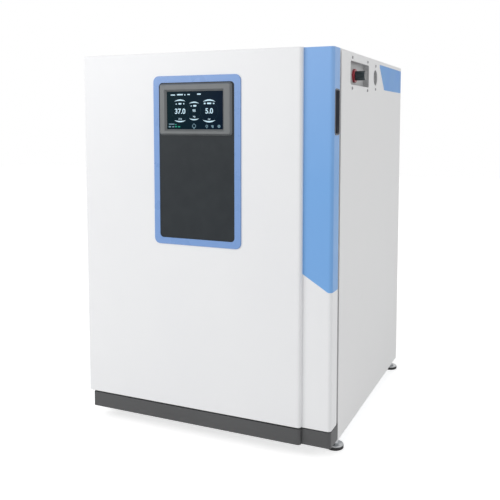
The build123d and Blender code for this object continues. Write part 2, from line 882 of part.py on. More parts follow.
def make_mains_inlet():
    half = mains_width / 2
    rise = mains_height / 2
    inlet = along_y(area(mains_x - half, mains_x + half, mains_z - rise, mains_z + rise, cabinet_edge_radius),
                    cabinet_back, cabinet_back + mains_flange)
    shell_half = mains_socket_width / 2 + handle_wall
    shell_rise = mains_socket_height / 2 + handle_wall
    shell = area(mains_x - shell_half, mains_x + shell_half, mains_z - shell_rise, mains_z + shell_rise)
    inlet += along_y(shell, cabinet_back - mains_depth, cabinet_back)
    mouth = area(mains_x - mains_socket_width / 2, mains_x + mains_socket_width / 2,
                 mains_z - mains_socket_height / 2, mains_z + mains_socket_height / 2)
    mouth = chamfer(mouth.vertices().sort_by(Axis.Y)[-2:], mains_socket_height / 4)
    inlet -= along_y(mouth, cabinet_back + mains_flange - mains_socket_depth,
                     cabinet_back + mains_flange + cut_margin)
    blade_half, blade_rise = mains_blade[0] / 2, mains_blade[1] / 2
    for index in (-1, 0, 1):
        x = mains_x + index * mains_blade_pitch
        z = mains_z + (blade_rise if index == 0 else -blade_rise)
        inlet += along_y(area(x - blade_half, x + blade_half, z - blade_rise, z + blade_rise),
                         cabinet_back + mains_flange - mains_socket_depth - cut_margin, cabinet_back)
    return inlet


# Right side

def make_switch_tray():
    half = recess_length / 2
    rise = recess_height / 2
    inner = area(recess_y - half, recess_y + half, recess_z - rise, recess_z + rise, switch_corner_radius)
    outer = area(recess_y - half - sheet, recess_y + half + sheet, recess_z - rise - sheet,
                 recess_z + rise + sheet, switch_corner_radius + sheet)
    flange = area(recess_y - half - tray_flange, recess_y + half + tray_flange,
                  recess_z - rise - tray_flange, recess_z + rise + tray_flange, switch_corner_radius)
    tray = along_x(flange, inner_half - sheet, inner_half)
    tray += along_x(outer, switch_floor - sheet, inner_half)
    tray -= along_x(inner, switch_floor, half_width)
    holes = None
    for place in screw_places()[:4]:
        hole = disc(*place, screw_radius + fit)
        holes = hole if holes is None else holes + hole
    tray -= along_x(holes, inner_half - sheet - cut_margin, inner_half + cut_margin)
    hole = disc(switch_y, switch_z, knob_shaft_radius + fit)
    return tray - along_x(hole, switch_floor - sheet - cut_margin, switch_floor + cut_margin)


def make_escutcheon():
    plate = disc(switch_y, switch_z, escutcheon_radius)
    edge = switch_y - escutcheon_radius
    tab = area(edge - escutcheon_tab / 2, edge + escutcheon_tab, switch_z, switch_z + escutcheon_tab)
    plate = along_x(plate + tab, switch_floor, switch_floor + escutcheon_thickness)
    plate = chamfer(plate.edges().group_by(Axis.X)[-1], escutcheon_bevel)
    return plate - along_x(disc(switch_y, switch_z, knob_shaft_radius + fit), switch_floor - cut_margin,
                           switch_floor + escutcheon_thickness + cut_margin)


def make_switch_knob():
    start = switch_floor + escutcheon_thickness + fit
    profile = disc(switch_y, switch_z, knob_radius)
    for index in range(knob_flutes):
        angle = radians(360 * (index + 0.5) / knob_flutes)
        reach = knob_radius + knob_flute_radius / 3
        profile -= disc(switch_y + reach * cos(angle), switch_z + reach * sin(angle), knob_flute_radius)
    knob = along_x(profile, start, knob_end)
    groove = area(switch_y - knob_mark, switch_y + knob_mark, switch_z, switch_z + knob_radius + cut_margin)
    knob -= along_x(groove, knob_end - knob_mark, knob_end + cut_margin)
    shaft_end = switch_floor - sheet - fit - switch_body_size / 2
    return knob + along_x(disc(switch_y, switch_z, knob_shaft_radius), shaft_end, start + cut_margin)


def make_switch_body():
    half = switch_body_size / 2
    back = switch_floor - sheet
    side = area(switch_y - half, switch_y + half, switch_z - half, switch_z + half, cabinet_edge_radius)
    body = along_x(side, back - switch_body_size, back)
    bore = disc(switch_y, switch_z, knob_shaft_radius + shaft_running_gap)
    return body - along_x(bore, back - 2 * fit - half, back + cut_margin)


def make_port_cup():
    """Round cup behind the side sheet, with a tube that the cap plugs."""
    floor = half_width - port_depth
    cup = along_x(disc(port_y, port_z, port_flange_radius), inner_half - port_wall, inner_half)
    cup += along_x(disc(port_y, port_z, port_radius + port_wall), floor - port_wall, inner_half)
    cup += along_x(disc(port_y, port_z, port_bore_radius + port_wall), floor - port_tube_length, floor)
    cup -= along_x(disc(port_y, port_z, port_radius), floor, half_width)
    cup -= along_x(disc(port_y, port_z, port_bore_radius), floor - port_tube_length - cut_margin, half_width)
    for place in screw_places()[4:]:
        cup -= along_x(disc(*place, screw_radius + fit), inner_half - port_wall - cut_margin,
                       inner_half + cut_margin)
    return cup


def make_port_cap():
    floor = half_width - port_depth + fit
    head = along_x(disc(port_y, port_z, cap_head_radius), floor, floor + cap_head)
    head = chamfer(head.edges().group_by(Axis.X)[-1], cap_head_edge)
    grip = area(port_y - cap_grip / 2, port_y + cap_grip / 2, port_z - cap_head_radius / 2,
                port_z + cap_head_radius / 2, cap_grip / 4)
    head += along_x(grip, floor + cap_head - cut_margin, floor + 2 * cap_head)
    plug = disc(port_y, port_z, port_bore_radius - fit)
    return head + along_x(plug, floor - cap_plug_length, floor + cut_margin)


def make_side_label():
    rear = cabinet_back - label_rear_margin
    corners = [(label_front_top, label_top), (rear, label_top),
               (rear, label_low), (label_front_low, label_low)]
    plate = make_face(Polyline(*corners, close=True))
    plate = fillet(plate.vertices(), label_radius)
    return along_x(plate, half_width, half_width + film)


def make_panel_screws():
    screws = []
    for place in screw_places():
        head = along_x(disc(*place, screw_head_radius), half_width, half_width + screw_head)
        head = chamfer(head.edges().group_by(Axis.X)[-1], screw_head / 2)
        shank = along_x(disc(*place, screw_radius), half_width - screw_length, half_width + screw_head / 2)
        screws.append(head + shank)
    return group(screws)


# Feet

def foot_places():
    places = []
    for y in (cabinet_front + foot_front_inset, cabinet_back - foot_rear_inset):
        for side in (-1, 1):
            places.append((side * (half_width - foot_side_inset), y))
    return places


def make_foot(x, y):
    """Domed steel disc with a hexagon and a long stem, and a rubber pad bonded under it."""
    disc_top = foot_pad + foot_disc
    edge = foot_radius - foot_pad_lip
    corners = [(0, 0), (edge, 0), (foot_radius, foot_pad_lip), (foot_radius, foot_rim), (edge, foot_rim),
               (edge, disc_top - foot_dome), (foot_hex_radius, disc_top), (0, disc_top)]
    foot = revolve(Plane.XZ * make_face(Polyline(*corners, close=True)), Axis.Z)
    foot += along_z(RegularPolygon(foot_hex_radius, 6), disc_top - cut_margin, disc_top + foot_hex)
    foot += along_z(Circle(foot_stem_radius), disc_top, foot_stem_length)
    return Pos(x, y, 0) * foot


# Hinges

def hinge_plan(start, end):
    leaf = area(-half_width - hinge_leaf, -half_width, *sorted((start, end)))
    return leaf + disc(hinge_x, hinge_y, hinge_radius)


def make_cabinet_hinges():
    """Lower half of each hinge, with its pin, on the cabinet's left side."""
    halves = []
    for z in hinge_heights:
        half = along_z(hinge_plan(hinge_y, hinge_y + hinge_radius + hinge_leaf_reach), z - hinge_knuckle, z)
        half += along_z(disc(hinge_x, hinge_y, hinge_pin_radius), z - hinge_knuckle, z + hinge_knuckle)
        halves.append(half)
    return group(halves)


def make_door_hinges():
    """Upper half of each hinge, on the door's left side."""
    halves = []
    for z in hinge_heights:
        low = z + fit
        plan = hinge_plan(hinge_y, hinge_y - hinge_radius - hinge_leaf_reach)
        half = along_z(plan, low, low + hinge_knuckle)
        half -= along_z(disc(hinge_x, hinge_y, hinge_pin_radius + hinge_running_gap), low - cut_margin,
                        z + hinge_knuckle + fit)
        halves.append(half)
    return group(halves)


def glass_hinge_post(z):
    """Two arms and a pin on the left wall of the frame's recess."""
    half = glass_knuckle / 2 + fit
    back = glass_hinge_y + glass_hinge_radius
    arm = area(-recess_half - sheet, glass_hinge_x, glass_hinge_y - glass_hinge_radius, back)
    arm += disc(glass_hinge_x, glass_hinge_y, glass_hinge_radius)
    post = along_z(arm, z - half - glass_arm, z - half)
    post += along_z(arm, z + half, z + half + glass_arm)
    return post + along_z(disc(glass_hinge_x, glass_hinge_y, glass_pin_radius), z - half - glass_arm / 2,
                          z + half + glass_arm / 2)


def make_glass_straps():
    straps = []
    for z in glass_hinge_heights:
        half = glass_knuckle / 2
        plan = disc(glass_hinge_x, glass_hinge_y, glass_hinge_radius)
        plan += area(glass_hinge_x, glass_hinge_x + glass_strap_reach, glass_front - glass_strap, glass_front)
        strap = along_z(plan, z - half, z + half)
        strap -= along_z(disc(glass_hinge_x, glass_hinge_y, glass_pin_radius + hinge_running_gap),
                         z - half - cut_margin, z + half + cut_margin)
        straps.append(strap)
    return group(straps)


def make_glass_pane():
    left = glass_left_margin - recess_half
    right = recess_half - glass_side_margin
    low = recess_low + glass_side_margin
    high = recess_high - glass_side_margin
    pane = along_y(area(left, right, low, high, glass_corner_radius), glass_front, glass_back)
    return pane - along_y(disc(latch_x, latch_z, latch_spindle_radius + fit), glass_front - cut_margin,
                          glass_back + cut_margin)


def make_glass_latch():
    """Turning lever on the pane; it points down when free and right when latched."""
    front = glass_front - fit
    lever = disc(latch_x, latch_z, latch_width / 2)
    tip_z = latch_z - latch_reach + latch_width / 2
    lever += area(latch_x - latch_width / 2, latch_x + latch_width / 2, tip_z, latch_z)
    lever += disc(latch_x, tip_z, latch_width / 2)
    latch = along_y(lever, front - latch_thickness, front)
    hub = along_y(disc(latch_x, latch_z, latch_hub_radius), front - latch_hub_height, front)
    latch += chamfer(hub.edges().group_by(Axis.Y)[0], latch_hub_edge)
    latch += along_y(disc(latch_x, latch_z, latch_spindle_radius), front - cut_margin, glass_back + latch_nut)
    return latch + along_y(disc(latch_x, latch_z, latch_nut_radius), glass_back + fit, glass_back + latch_nut)


def make_glass_keeper():
    """Bent tab on the frame, which the latch lever turns behind."""
    low = latch_z - keeper_height / 2
    high = latch_z + keeper_height / 2
    tab_back = glass_front - 2 * fit - latch_thickness
    front = tab_back - keeper_thickness
    plan = area(recess_half - keeper_reach, recess_half + keeper_thickness, front, tab_back)
    plan += area(recess_half, recess_half + keeper_thickness, front, cabinet_front)
    return along_z(plan, low, high)


# Outer door

def make_door_skin():
    outer = area(-half_width, step_x, 0, door_depth)
    front = outer.vertices().sort_by(Axis.Y)[:2].sort_by(Axis.X)
    outer = fillet(front[-1], panel_edge_radius)
    outer = fillet(outer.vertices().sort_by_distance(Vector(-half_width, 0))[0], door_edge_radius)
    skin = along_z(outer, door_bottom, total_height)
    rims = skin.edges().filter_by(GeomType.LINE).filter_by(Axis.X)
    rims = rims.filter_by(lambda edge: edge.center().Y < door_rim_radius)
    skin = fillet(rims, door_rim_radius)
    inner = area(sheet - half_width, step_x - sheet, sheet, door_depth + cut_margin)
    skin -= along_z(inner, door_bottom + sheet, total_height - sheet)
    skin -= along_z(area(step_x - 2 * sheet, step_x + cut_margin, skin_return, door_depth + cut_margin),
                    door_bottom + sheet, column_top - sheet)
    return skin - along_y(panel_area(fit), -cut_margin, sheet + cut_margin)


def panel_area(grow=0):
    """Front view of the control panel, grown outwards."""
    return area(panel_left - grow, panel_right + grow, panel_low - grow, panel_high + grow,
                panel_corner_radius + grow)


def column_plan(wall=0):
    """Plan of the column with its round front corner, grown outwards by a wall."""
    plan = area(step_x, half_width + wall, column_set_back - wall, door_depth)
    corner = plan.vertices().sort_by_distance(Vector(half_width + wall, column_set_back - wall))[0]
    return fillet(corner, column_edge_radius + wall)


def handle_area(grow=0):
    return area(handle_front - grow, handle_back + grow, handle_bottom - grow, handle_top + grow,
                handle_corner_radius + grow)


def make_column_cover():
    cover = along_z(column_plan(), door_bottom, column_top)
    inner = column_plan(-sheet) + area(step_x - cut_margin, half_width - sheet, door_depth - cut_margin,
                                       door_depth + cut_margin)
    cover -= along_z(inner, door_bottom + sheet, column_top - sheet)
    hole = handle_area(fit + handle_wall - handle_border)
    return cover - along_x(hole, half_width - handle_recess, half_width + cut_margin)


def make_column_film():
    """Thin coloured film round the column; its lower edge slopes across the front."""
    wrap = along_z(column_plan(film) - column_plan(), film_side_bottom, column_top)
    slope = [(step_x, film_side_bottom), (step_x, film_front_bottom), (film_slope_end, film_side_bottom)]
    wrap -= along_y(make_face(Polyline(*slope, close=True)), column_set_back - 2 * film,
                    column_set_back + column_edge_radius)
    return wrap - along_x(handle_area(fit), half_width - cut_margin, half_width + cut_margin)


def make_door_liner():
    back = door_depth
    low = door_bottom + sheet
    high = column_top - sheet
    liner = along_y(area(-inner_half, inner_half, low, high), back - sheet, back)
    reach = recess_half - dish_margin
    dish_low = recess_low + dish_margin
    dish_high = recess_high - dish_margin
    outer = area(-reach - sheet, reach + sheet, dish_low - sheet, dish_high + sheet,
                 recess_corner_radius + sheet)
    dish = area(-reach, reach, dish_low, dish_high, recess_corner_radius)
    liner += along_y(outer, back - sheet - liner_recess, back)
    liner -= along_y(dish, back - liner_recess, back + cut_margin)
    middle = tongue_inner + tongue_thickness / 2
    half = tongue_thickness / 2 + tongue_slot_margin
    rise = (tongue_reach ** 2 - (back - sheet - lock_y) ** 2) ** 0.5
    slot = area(middle - half, middle + half, lock_z - tongue_width / 2 - tongue_slot_margin,
                lock_z + rise + tongue_slot_margin, cut_margin)
    return liner - along_y(slot, back - sheet - cut_margin, back + cut_margin)


def make_door_insulation():
    left = sheet + fit - half_width
    right = step_x - sheet - fit
    front = sheet + fit
    back = door_depth - 2 * sheet - liner_recess - fit
    block = along_y(area(left, right, door_bottom + sheet + fit, total_height - sheet - fit), front, back)
    grow = backbox_margin + sheet + fit
    pocket = area(panel_left - grow, panel_right + grow, panel_low - grow, panel_high + grow)
    return block - along_y(pocket, front - cut_margin, sheet + backbox_depth + fit)


def ring(margin, width):
    """Front view of a seal that runs round the recess for the glass door."""
    inner = recess_half + margin
    outer = inner + width
    low = recess_low - margin
    high = recess_high + margin
    shape = area(-outer, outer, low - width, high + width, seal_corner_radius + width)
    return shape - area(-inner, inner, low, high, seal_corner_radius)


def make_door_seal():
    """Magnetic seal: a narrow foot on the door's liner and a wider lip towards the frame."""
    side = (seal_width - seal_foot_width) / 2
    foot = along_y(ring(seal_margin + side, seal_foot_width), door_depth, door_depth + seal_foot + cut_margin)
    return foot + along_y(ring(seal_margin, seal_width), door_depth + seal_foot, cabinet_front - fit)


def make_panel_surround():
    grow = surround_border
    outer = area(panel_left - grow, panel_right + grow, panel_low - grow, panel_high + grow,
                 surround_corner_radius)
    frame = along_y(outer, -surround_proud, 0)
    frame = chamfer(frame.edges().group_by(Axis.Y)[0], surround_bevel)
    return frame - along_y(panel_area(fit), -surround_proud - cut_margin, cut_margin)


def make_control_panel():
    return along_y(panel_area(), panel_front, panel_front + panel_thickness)


def make_panel_backbox():
    """Box behind the control panel; its flange lies behind the door's skin."""
    grow = backbox_margin
    shell = area(panel_left - grow, panel_right + grow, panel_low - grow, panel_high + grow)
    front = panel_front + panel_thickness
    box = along_y(shell, front, sheet + backbox_depth)
    inner = area(panel_left + grow, panel_right - grow, panel_low + grow, panel_high - grow)
    box -= along_y(area(panel_left - grow + sheet, panel_right + grow - sheet, panel_low - grow + sheet,
                        panel_high + grow - sheet), front + sheet, backbox_depth)
    return box - along_y(inner, front - cut_margin, front + sheet + cut_margin)


def make_display_board():
    back = backbox_depth
    front = back - board_lift - board_thickness
    left, right = panel_left + board_margin, panel_right - board_margin
    low, high = panel_low + board_margin, panel_high - board_margin
    board = along_y(area(left, right, low, high), front, front + board_thickness)
    for x in (left + board_margin, right - board_margin):
        for z in (low + board_margin, high - board_margin):
            board += along_y(disc(x, z, standoff_radius), front + board_thickness, back)
    display_front = panel_front + panel_thickness + 2 * sheet
    return board + along_y(screen_area(), display_front, front + cut_margin)


def screen_area(grow=0):
    """Front view of the screen, grown outwards."""
    half = screen_width / 2 + grow
    return area(screen_x - half, screen_x + half, screen_low - grow, screen_low + screen_height + grow)


def make_screen_bezel():
    """Picture-frame bezel with sloping outer and inner faces."""
    centre_x = bezel_left + bezel_width / 2
    centre_z = (bezel_low + bezel_high) / 2
    front = -bezel_proud
    base = Pos(centre_x, centre_z) * RectangleRounded(bezel_width, bezel_height, bezel_corner_radius)
    rim = Pos(centre_x, centre_z) * RectangleRounded(
        bezel_width - 2 * bezel_bevel, bezel_height - 2 * bezel_bevel, bezel_corner_radius - bezel_bevel)
    screen_front = panel_front - screen_thickness
    body = loft([facing(base, panel_front), facing(rim, front)])
    well = loft([facing(screen_area(), screen_front), facing(screen_area(bezel_inner_bevel), front)])
    return body - well - along_y(screen_area(), screen_front, panel_front + cut_margin)


def facing(profile, y):
    """Face of a front view, drawn in x and z, at this y."""
    return (Pos(0, y, 0) * (Plane.XZ * profile)).faces()[0]


def make_screen():
    return along_y(screen_area(-fit), panel_front - screen_thickness, panel_front)


def make_handle_cup():
    """Recessed pull with a rim outside the column and a boss for the lock inside."""
    cup = along_x(handle_area(), half_width, half_width + handle_rim)
    cup = chamfer(cup.edges().group_by(Axis.X)[-1], handle_rim / 2)
    shell = handle_area(handle_wall - handle_border)
    floor = half_width - handle_recess
    cup += along_x(shell, floor - handle_wall, half_width)
    cup -= along_x(handle_area(-handle_border), floor, half_width + handle_rim + cut_margin)
    boss = along_x(disc(lock_y, lock_z, lock_boss_radius), floor - handle_wall, floor + lock_boss_height)
    cup += boss
    bore = disc(lock_y, lock_z, lock_radius + lock_running_gap)
    return cup - along_x(bore, floor - handle_wall - cut_margin, half_width)


def make_lock_barrel():
    head_start = lock_face + fit
    end = head_start + lock_head
    barrel = along_x(disc(lock_y, lock_z, lock_head_radius), head_start, end)
    barrel += along_x(disc(lock_y, lock_z, lock_radius), tongue_inner + tongue_thickness, end - fit)
    slot = area(lock_y - key_slot_width / 2, lock_y + key_slot_width / 2,
                lock_z - key_slot_height / 2, lock_z + key_slot_height / 2)
    return barrel - along_x(slot, end - key_slot_depth, end + cut_margin)


def make_lock_tongue():
    """Flat hook on the barrel's inner end; it turns rearwards round the strike's pin."""
    half = tongue_width / 2
    plate = disc(lock_y, lock_z, half)
    plate += area(lock_y - half, lock_y + half, lock_z, lock_z + tongue_reach)
    plate &= disc(lock_y, lock_z, tongue_reach)
    gap = strike_pin_radius + strike_clearance
    arc = disc(lock_y, lock_z, tongue_hook + gap) - disc(lock_y, lock_z, tongue_hook - gap)
    plate -= arc & area(lock_y - gap, lock_y + tongue_width, lock_z, lock_z + tongue_reach)
    return along_x(plate, tongue_inner, tongue_inner + tongue_thickness)


def make_strike():
    """Two cheeks on the frame's front face, with the pin that the tongue hooks."""
    middle = tongue_inner + tongue_thickness / 2
    front = strike_y - strike_pin_radius - strike_cheek
    back = cabinet_front
    low = lock_z - strike_height / 2
    strike = None
    for side in (-1, 1):
        inner = middle + side * strike_cheek_gap / 2
        outer = inner + side * strike_cheek
        plan = area(*sorted((inner, outer)), front, back)
        plan += area(*sorted((outer, outer + side * strike_cheek)), back - strike_cheek, back)
        cheek = along_z(plan, low, low + strike_height)
        strike = cheek if strike is None else strike + cheek
    reach = strike_cheek_gap / 2 + strike_cheek
    return strike + along_x(disc(strike_y, lock_z, strike_pin_radius), middle - reach, middle + reach)


def build():
    os.makedirs("parts", exist_ok=True)
    save("cabinet_wrap", make_cabinet_wrap())
    save("front_frame", make_front_frame())
    save("base_pan", make_base_pan())
    save("rear_panel", make_rear_panel())
    save("plinth", make_plinth())
    save("chamber_liner", make_chamber_liner())
    save("heater_mats", make_heater_mats())
    save("chamber_insulation", make_insulation())
    save("equipment_tray", make_equipment_tray())
    save("glass_seal", make_glass_seal())
    save("plenum_duct", make_plenum())
    save("air_filter", make_filter())
    save("fan_impeller", make_impeller())
    save("fan_motor", make_fan_motor())
    save("gas_sensor", make_sensor(sensor_x, sensor_radius, sensor_radius / 2, sensor_length, True))
    save("temperature_probe", make_sensor(probe_x, probe_radius, probe_radius, probe_length, False))
    save("shelf_racks", group(make_rack(side) for side in (-1, 1)))
    for number, level in enumerate(shelf_levels, 1):
        save(f"shelf_{number}", make_shelf(level))
    save("water_pan", make_water_pan())
    save("power_supply", make_power_supply())
    save("control_board", make_control_board())
    save("gas_valve", make_gas_valve())
    save("gas_inlet", make_gas_inlet())
    save("mains_inlet", make_mains_inlet())
    save("switch_tray", make_switch_tray())
    save("switch_escutcheon", make_escutcheon())
    save("switch_knob", make_switch_knob())
    save("switch_body", make_switch_body())
    save("port_cup", make_port_cup())
    save("port_cap", make_port_cap())
    save("side_label", make_side_label())
    save("panel_screws", make_panel_screws())
    names = ("front_left", "front_right", "rear_left", "rear_right")
    for name, (x, y) in zip(names, foot_places()):
        save(f"foot_{name}", make_foot(x, y))
    save("hinges_cabinet_side", make_cabinet_hinges())
    save("hinges_door_side", make_door_hinges())
    save("glass_hinge_straps", make_glass_straps())
    save("glass_pane", make_glass_pane())
    save("glass_latch", make_glass_latch())
    save("glass_keeper", make_glass_keeper())
    save("door_skin", make_door_skin())
    save("column_cover", make_column_cover())
    save("column_film", make_column_film())
    save("door_liner", make_door_liner())
    save("door_insulation", make_door_insulation())
    save("door_seal", make_door_seal())
    save("panel_surround", make_panel_surround())
    save("control_panel", make_control_panel())
    save("panel_backbox", make_panel_backbox())
    save("display_board", make_display_board())
    save("screen_bezel", make_screen_bezel())
    save("screen", make_screen())
    save("handle_cup", make_handle_cup())
    save("lock_barrel", make_lock_barrel())
    save("lock_tongue", make_lock_tongue())
    save("lock_strike", make_strike())


build()
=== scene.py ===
import json
import math

import bmesh
import bpy
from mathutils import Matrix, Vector


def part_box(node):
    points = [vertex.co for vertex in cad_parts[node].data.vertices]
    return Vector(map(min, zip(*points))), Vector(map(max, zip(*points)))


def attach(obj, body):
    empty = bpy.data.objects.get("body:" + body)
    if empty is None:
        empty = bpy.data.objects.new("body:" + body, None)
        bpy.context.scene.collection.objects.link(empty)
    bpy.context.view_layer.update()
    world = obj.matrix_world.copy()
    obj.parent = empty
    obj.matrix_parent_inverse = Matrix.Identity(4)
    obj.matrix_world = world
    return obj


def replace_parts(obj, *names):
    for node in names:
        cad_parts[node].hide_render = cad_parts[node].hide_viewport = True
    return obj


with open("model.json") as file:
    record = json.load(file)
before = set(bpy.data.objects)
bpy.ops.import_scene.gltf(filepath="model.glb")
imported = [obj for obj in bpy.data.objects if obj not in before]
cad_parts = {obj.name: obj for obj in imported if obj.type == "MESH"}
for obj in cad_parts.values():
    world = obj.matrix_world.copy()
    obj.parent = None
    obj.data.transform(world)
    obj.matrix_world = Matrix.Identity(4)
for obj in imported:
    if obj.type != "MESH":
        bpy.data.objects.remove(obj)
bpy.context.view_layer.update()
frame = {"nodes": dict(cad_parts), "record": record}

scene = bpy.context.scene
scene.view_settings.view_transform = "Standard"
mm = 0.001


# Camera, at the photograph's viewing angle

photoView = {"place": (0.76535, -1.7842, 0.7564), "turn": 0.4179, "tilt": 0.0823, "lens": 50.03,
             "rise": -0.14}


def addCamera():
    data = bpy.data.cameras.new("photoCamera")
    data.lens = photoView["lens"]
    data.sensor_width = 36
    data.shift_y = photoView["rise"]
    camera = bpy.data.objects.new("photoCamera", data)
    camera.location = photoView["place"]
    camera.rotation_euler = (math.pi / 2 - photoView["tilt"], 0, photoView["turn"])
    scene.collection.objects.link(camera)
    scene.camera = camera


addCamera()
print("camera placed")


# Nodes that more than one material uses

def link(tree, source, target):
    tree.links.new(source, target)


def newGroup(name, inputs, outputs):
    tree = bpy.data.node_groups.new(name, "ShaderNodeTree")
    for label, kind, value in inputs:
        socket = tree.interface.new_socket(name=label, in_out="INPUT", socket_type=kind)
        if value is not None:
            socket.default_value = value
    for label, kind in outputs:
        tree.interface.new_socket(name=label, in_out="OUTPUT", socket_type=kind)
    start = tree.nodes.new("NodeGroupInput")
    end = tree.nodes.new("NodeGroupOutput")
    return tree, start, end


def noiseIn(tree, vector, detail, roughness=0.5, scale=None):
    node = tree.nodes.new("ShaderNodeTexNoise")
    if scale is not None:
        node.inputs["Scale"].default_value = scale
    node.inputs["Detail"].default_value = detail
    node.inputs["Roughness"].default_value = roughness
    link(tree, vector, node.inputs["Vector"])
    return node


def mathIn(tree, operation, first, second):
    node = tree.nodes.new("ShaderNodeMath")
    node.operation = operation
    for value, socket in zip((first, second), node.inputs):
        if isinstance(value, (int, float)):
            socket.default_value = value
        else:
            link(tree, value, socket)
    return node.outputs[0]


def scaledVector(tree, vector, factor):
    node = tree.nodes.new("ShaderNodeVectorMath")
    node.operation = "MULTIPLY"
    link(tree, vector, node.inputs[0])
    link(tree, factor, node.inputs[1])
    return node.outputs[0]


def makePeelGroup():
    # the soft dimples of a sprayed powder coat, and its slow unevenness
    tree, start, end = newGroup("sprayedPeel", [("Vector", "NodeSocketVector", None),
                                                ("Dimple", "NodeSocketFloat", 700.0)],
                                [("Height", "NodeSocketFloat"), ("Mottle", "NodeSocketFloat")])
    dimple = noiseIn(tree, start.outputs["Vector"], 1.5)
    link(tree, start.outputs["Dimple"], dimple.inputs["Scale"])
    fine = noiseIn(tree, start.outputs["Vector"], 1.0)
    link(tree, mathIn(tree, "MULTIPLY", start.outputs["Dimple"], 2.7), fine.inputs["Scale"])
    height = mathIn(tree, "ADD", dimple.outputs[0], mathIn(tree, "MULTIPLY", fine.outputs[0], 0.3))
    broad = noiseIn(tree, start.outputs["Vector"], 3.0, scale=4.0)
    link(tree, height, end.inputs["Height"])
    link(tree, broad.outputs[0], end.inputs["Mottle"])
    return tree


def makeBrushGroup():
    # fine lines drawn out along one direction, as a brushing wheel leaves them
    tree, start, end = newGroup("brushedLines", [("Vector", "NodeSocketVector", None),
                                                 ("Stretch", "NodeSocketVector", (20, 900, 900))],
                                [("Height", "NodeSocketFloat"), ("Mottle", "NodeSocketFloat")])
    stretched = scaledVector(tree, start.outputs["Vector"], start.outputs["Stretch"])
    lines = noiseIn(tree, stretched, 3.0, 0.6, 1.0)
    broad = noiseIn(tree, start.outputs["Vector"], 2.0, scale=9.0)
    mixed = mathIn(tree, "ADD", mathIn(tree, "MULTIPLY", lines.outputs[0], 0.65),
                   mathIn(tree, "MULTIPLY", broad.outputs[0], 0.35))
    link(tree, lines.outputs[0], end.inputs["Height"])
    link(tree, mixed, end.inputs["Mottle"])
    return tree


def makePebbleGroup():
    # the small pebbles of a spark-eroded mould
    tree, start, end = newGroup("mouldPebble", [("Vector", "NodeSocketVector", None),
                                                ("Pebble", "NodeSocketFloat", 1400.0)],
                                [("Height", "NodeSocketFloat"), ("Mottle", "NodeSocketFloat")])
    pebble = tree.nodes.new("ShaderNodeTexVoronoi")
    link(tree, start.outputs["Vector"], pebble.inputs["Vector"])
    link(tree, start.outputs["Pebble"], pebble.inputs["Scale"])
    broad = noiseIn(tree, start.outputs["Vector"], 4.0, scale=30.0)
    link(tree, pebble.outputs["Distance"], end.inputs["Height"])
    link(tree, broad.outputs[0], end.inputs["Mottle"])
    return tree


grainTrees = {"peel": makePeelGroup(), "brush": makeBrushGroup(), "pebble": makePebbleGroup()}


def startMaterial(name, values):
    material = bpy.data.materials.new(name)
    material.use_nodes = True
    tree = material.node_tree
    shader = tree.nodes["Principled BSDF"]
    for label, value in values.items():
        shader.inputs[label].default_value = value
    place = tree.nodes.new("ShaderNodeTexCoord").outputs["Object"]
    return material, tree, shader, place


def colourMix(tree, factor, first, second):
    node = tree.nodes.new("ShaderNodeMix")
    node.data_type = "RGBA"
    link(tree, factor, node.inputs[0])
    for value, socket in ((first, node.inputs[6]), (second, node.inputs[7])):
        if isinstance(value, tuple):
            socket.default_value = (*value, 1)
        else:
            link(tree, value, socket)
    return node.outputs[2]


def spread(tree, value, low, high, fromLow=0.3, fromHigh=0.7):
    # the range fromLow to fromHigh is stretched to low to high
    node = tree.nodes.new("ShaderNodeMapRange")
    link(tree, value, node.inputs["Value"])
    node.inputs["From Min"].default_value = fromLow
    node.inputs["From Max"].default_value = fromHigh
    node.inputs["To Min"].default_value = low
    node.inputs["To Max"].default_value = high
    return node.outputs["Result"]


def bumpIn(tree, height, shader, strength, distance):
    node = tree.nodes.new("ShaderNodeBump")
    node.inputs["Strength"].default_value = strength
    node.inputs["Distance"].default_value = distance
    link(tree, height, node.inputs["Height"])
    link(tree, node.outputs[0], shader.inputs["Normal"])


def grainMaterial(name, grain, colours, rough, bump, size=None, shader=None):
    # colours and rough are pairs: the finish drifts from the first to the second
    material, tree, surface, place = startMaterial(name, shader or {})
    node = tree.nodes.new("ShaderNodeGroup")
    node.node_tree = grainTrees[grain]
    link(tree, place, node.inputs["Vector"])
    if size is not None:
        node.inputs[1].default_value = size
    mottle = node.outputs["Mottle"]
    link(tree, colourMix(tree, spread(tree, mottle, 0, 1), *colours), surface.inputs["Base Color"])
    link(tree, spread(tree, mottle, *rough), surface.inputs["Roughness"])
    bumpIn(tree, node.outputs["Height"], surface, *bump)
    return material


def heightMask(tree, place, axis, edge, width):
    # 0 below the edge and 1 above it, along one axis of the object
    parts = tree.nodes.new("ShaderNodeSeparateXYZ")
    link(tree, place, parts.inputs[0])
    return spread(tree, parts.outputs[axis], 0, 1, edge - width / 2, edge + width / 2)


# Finishes

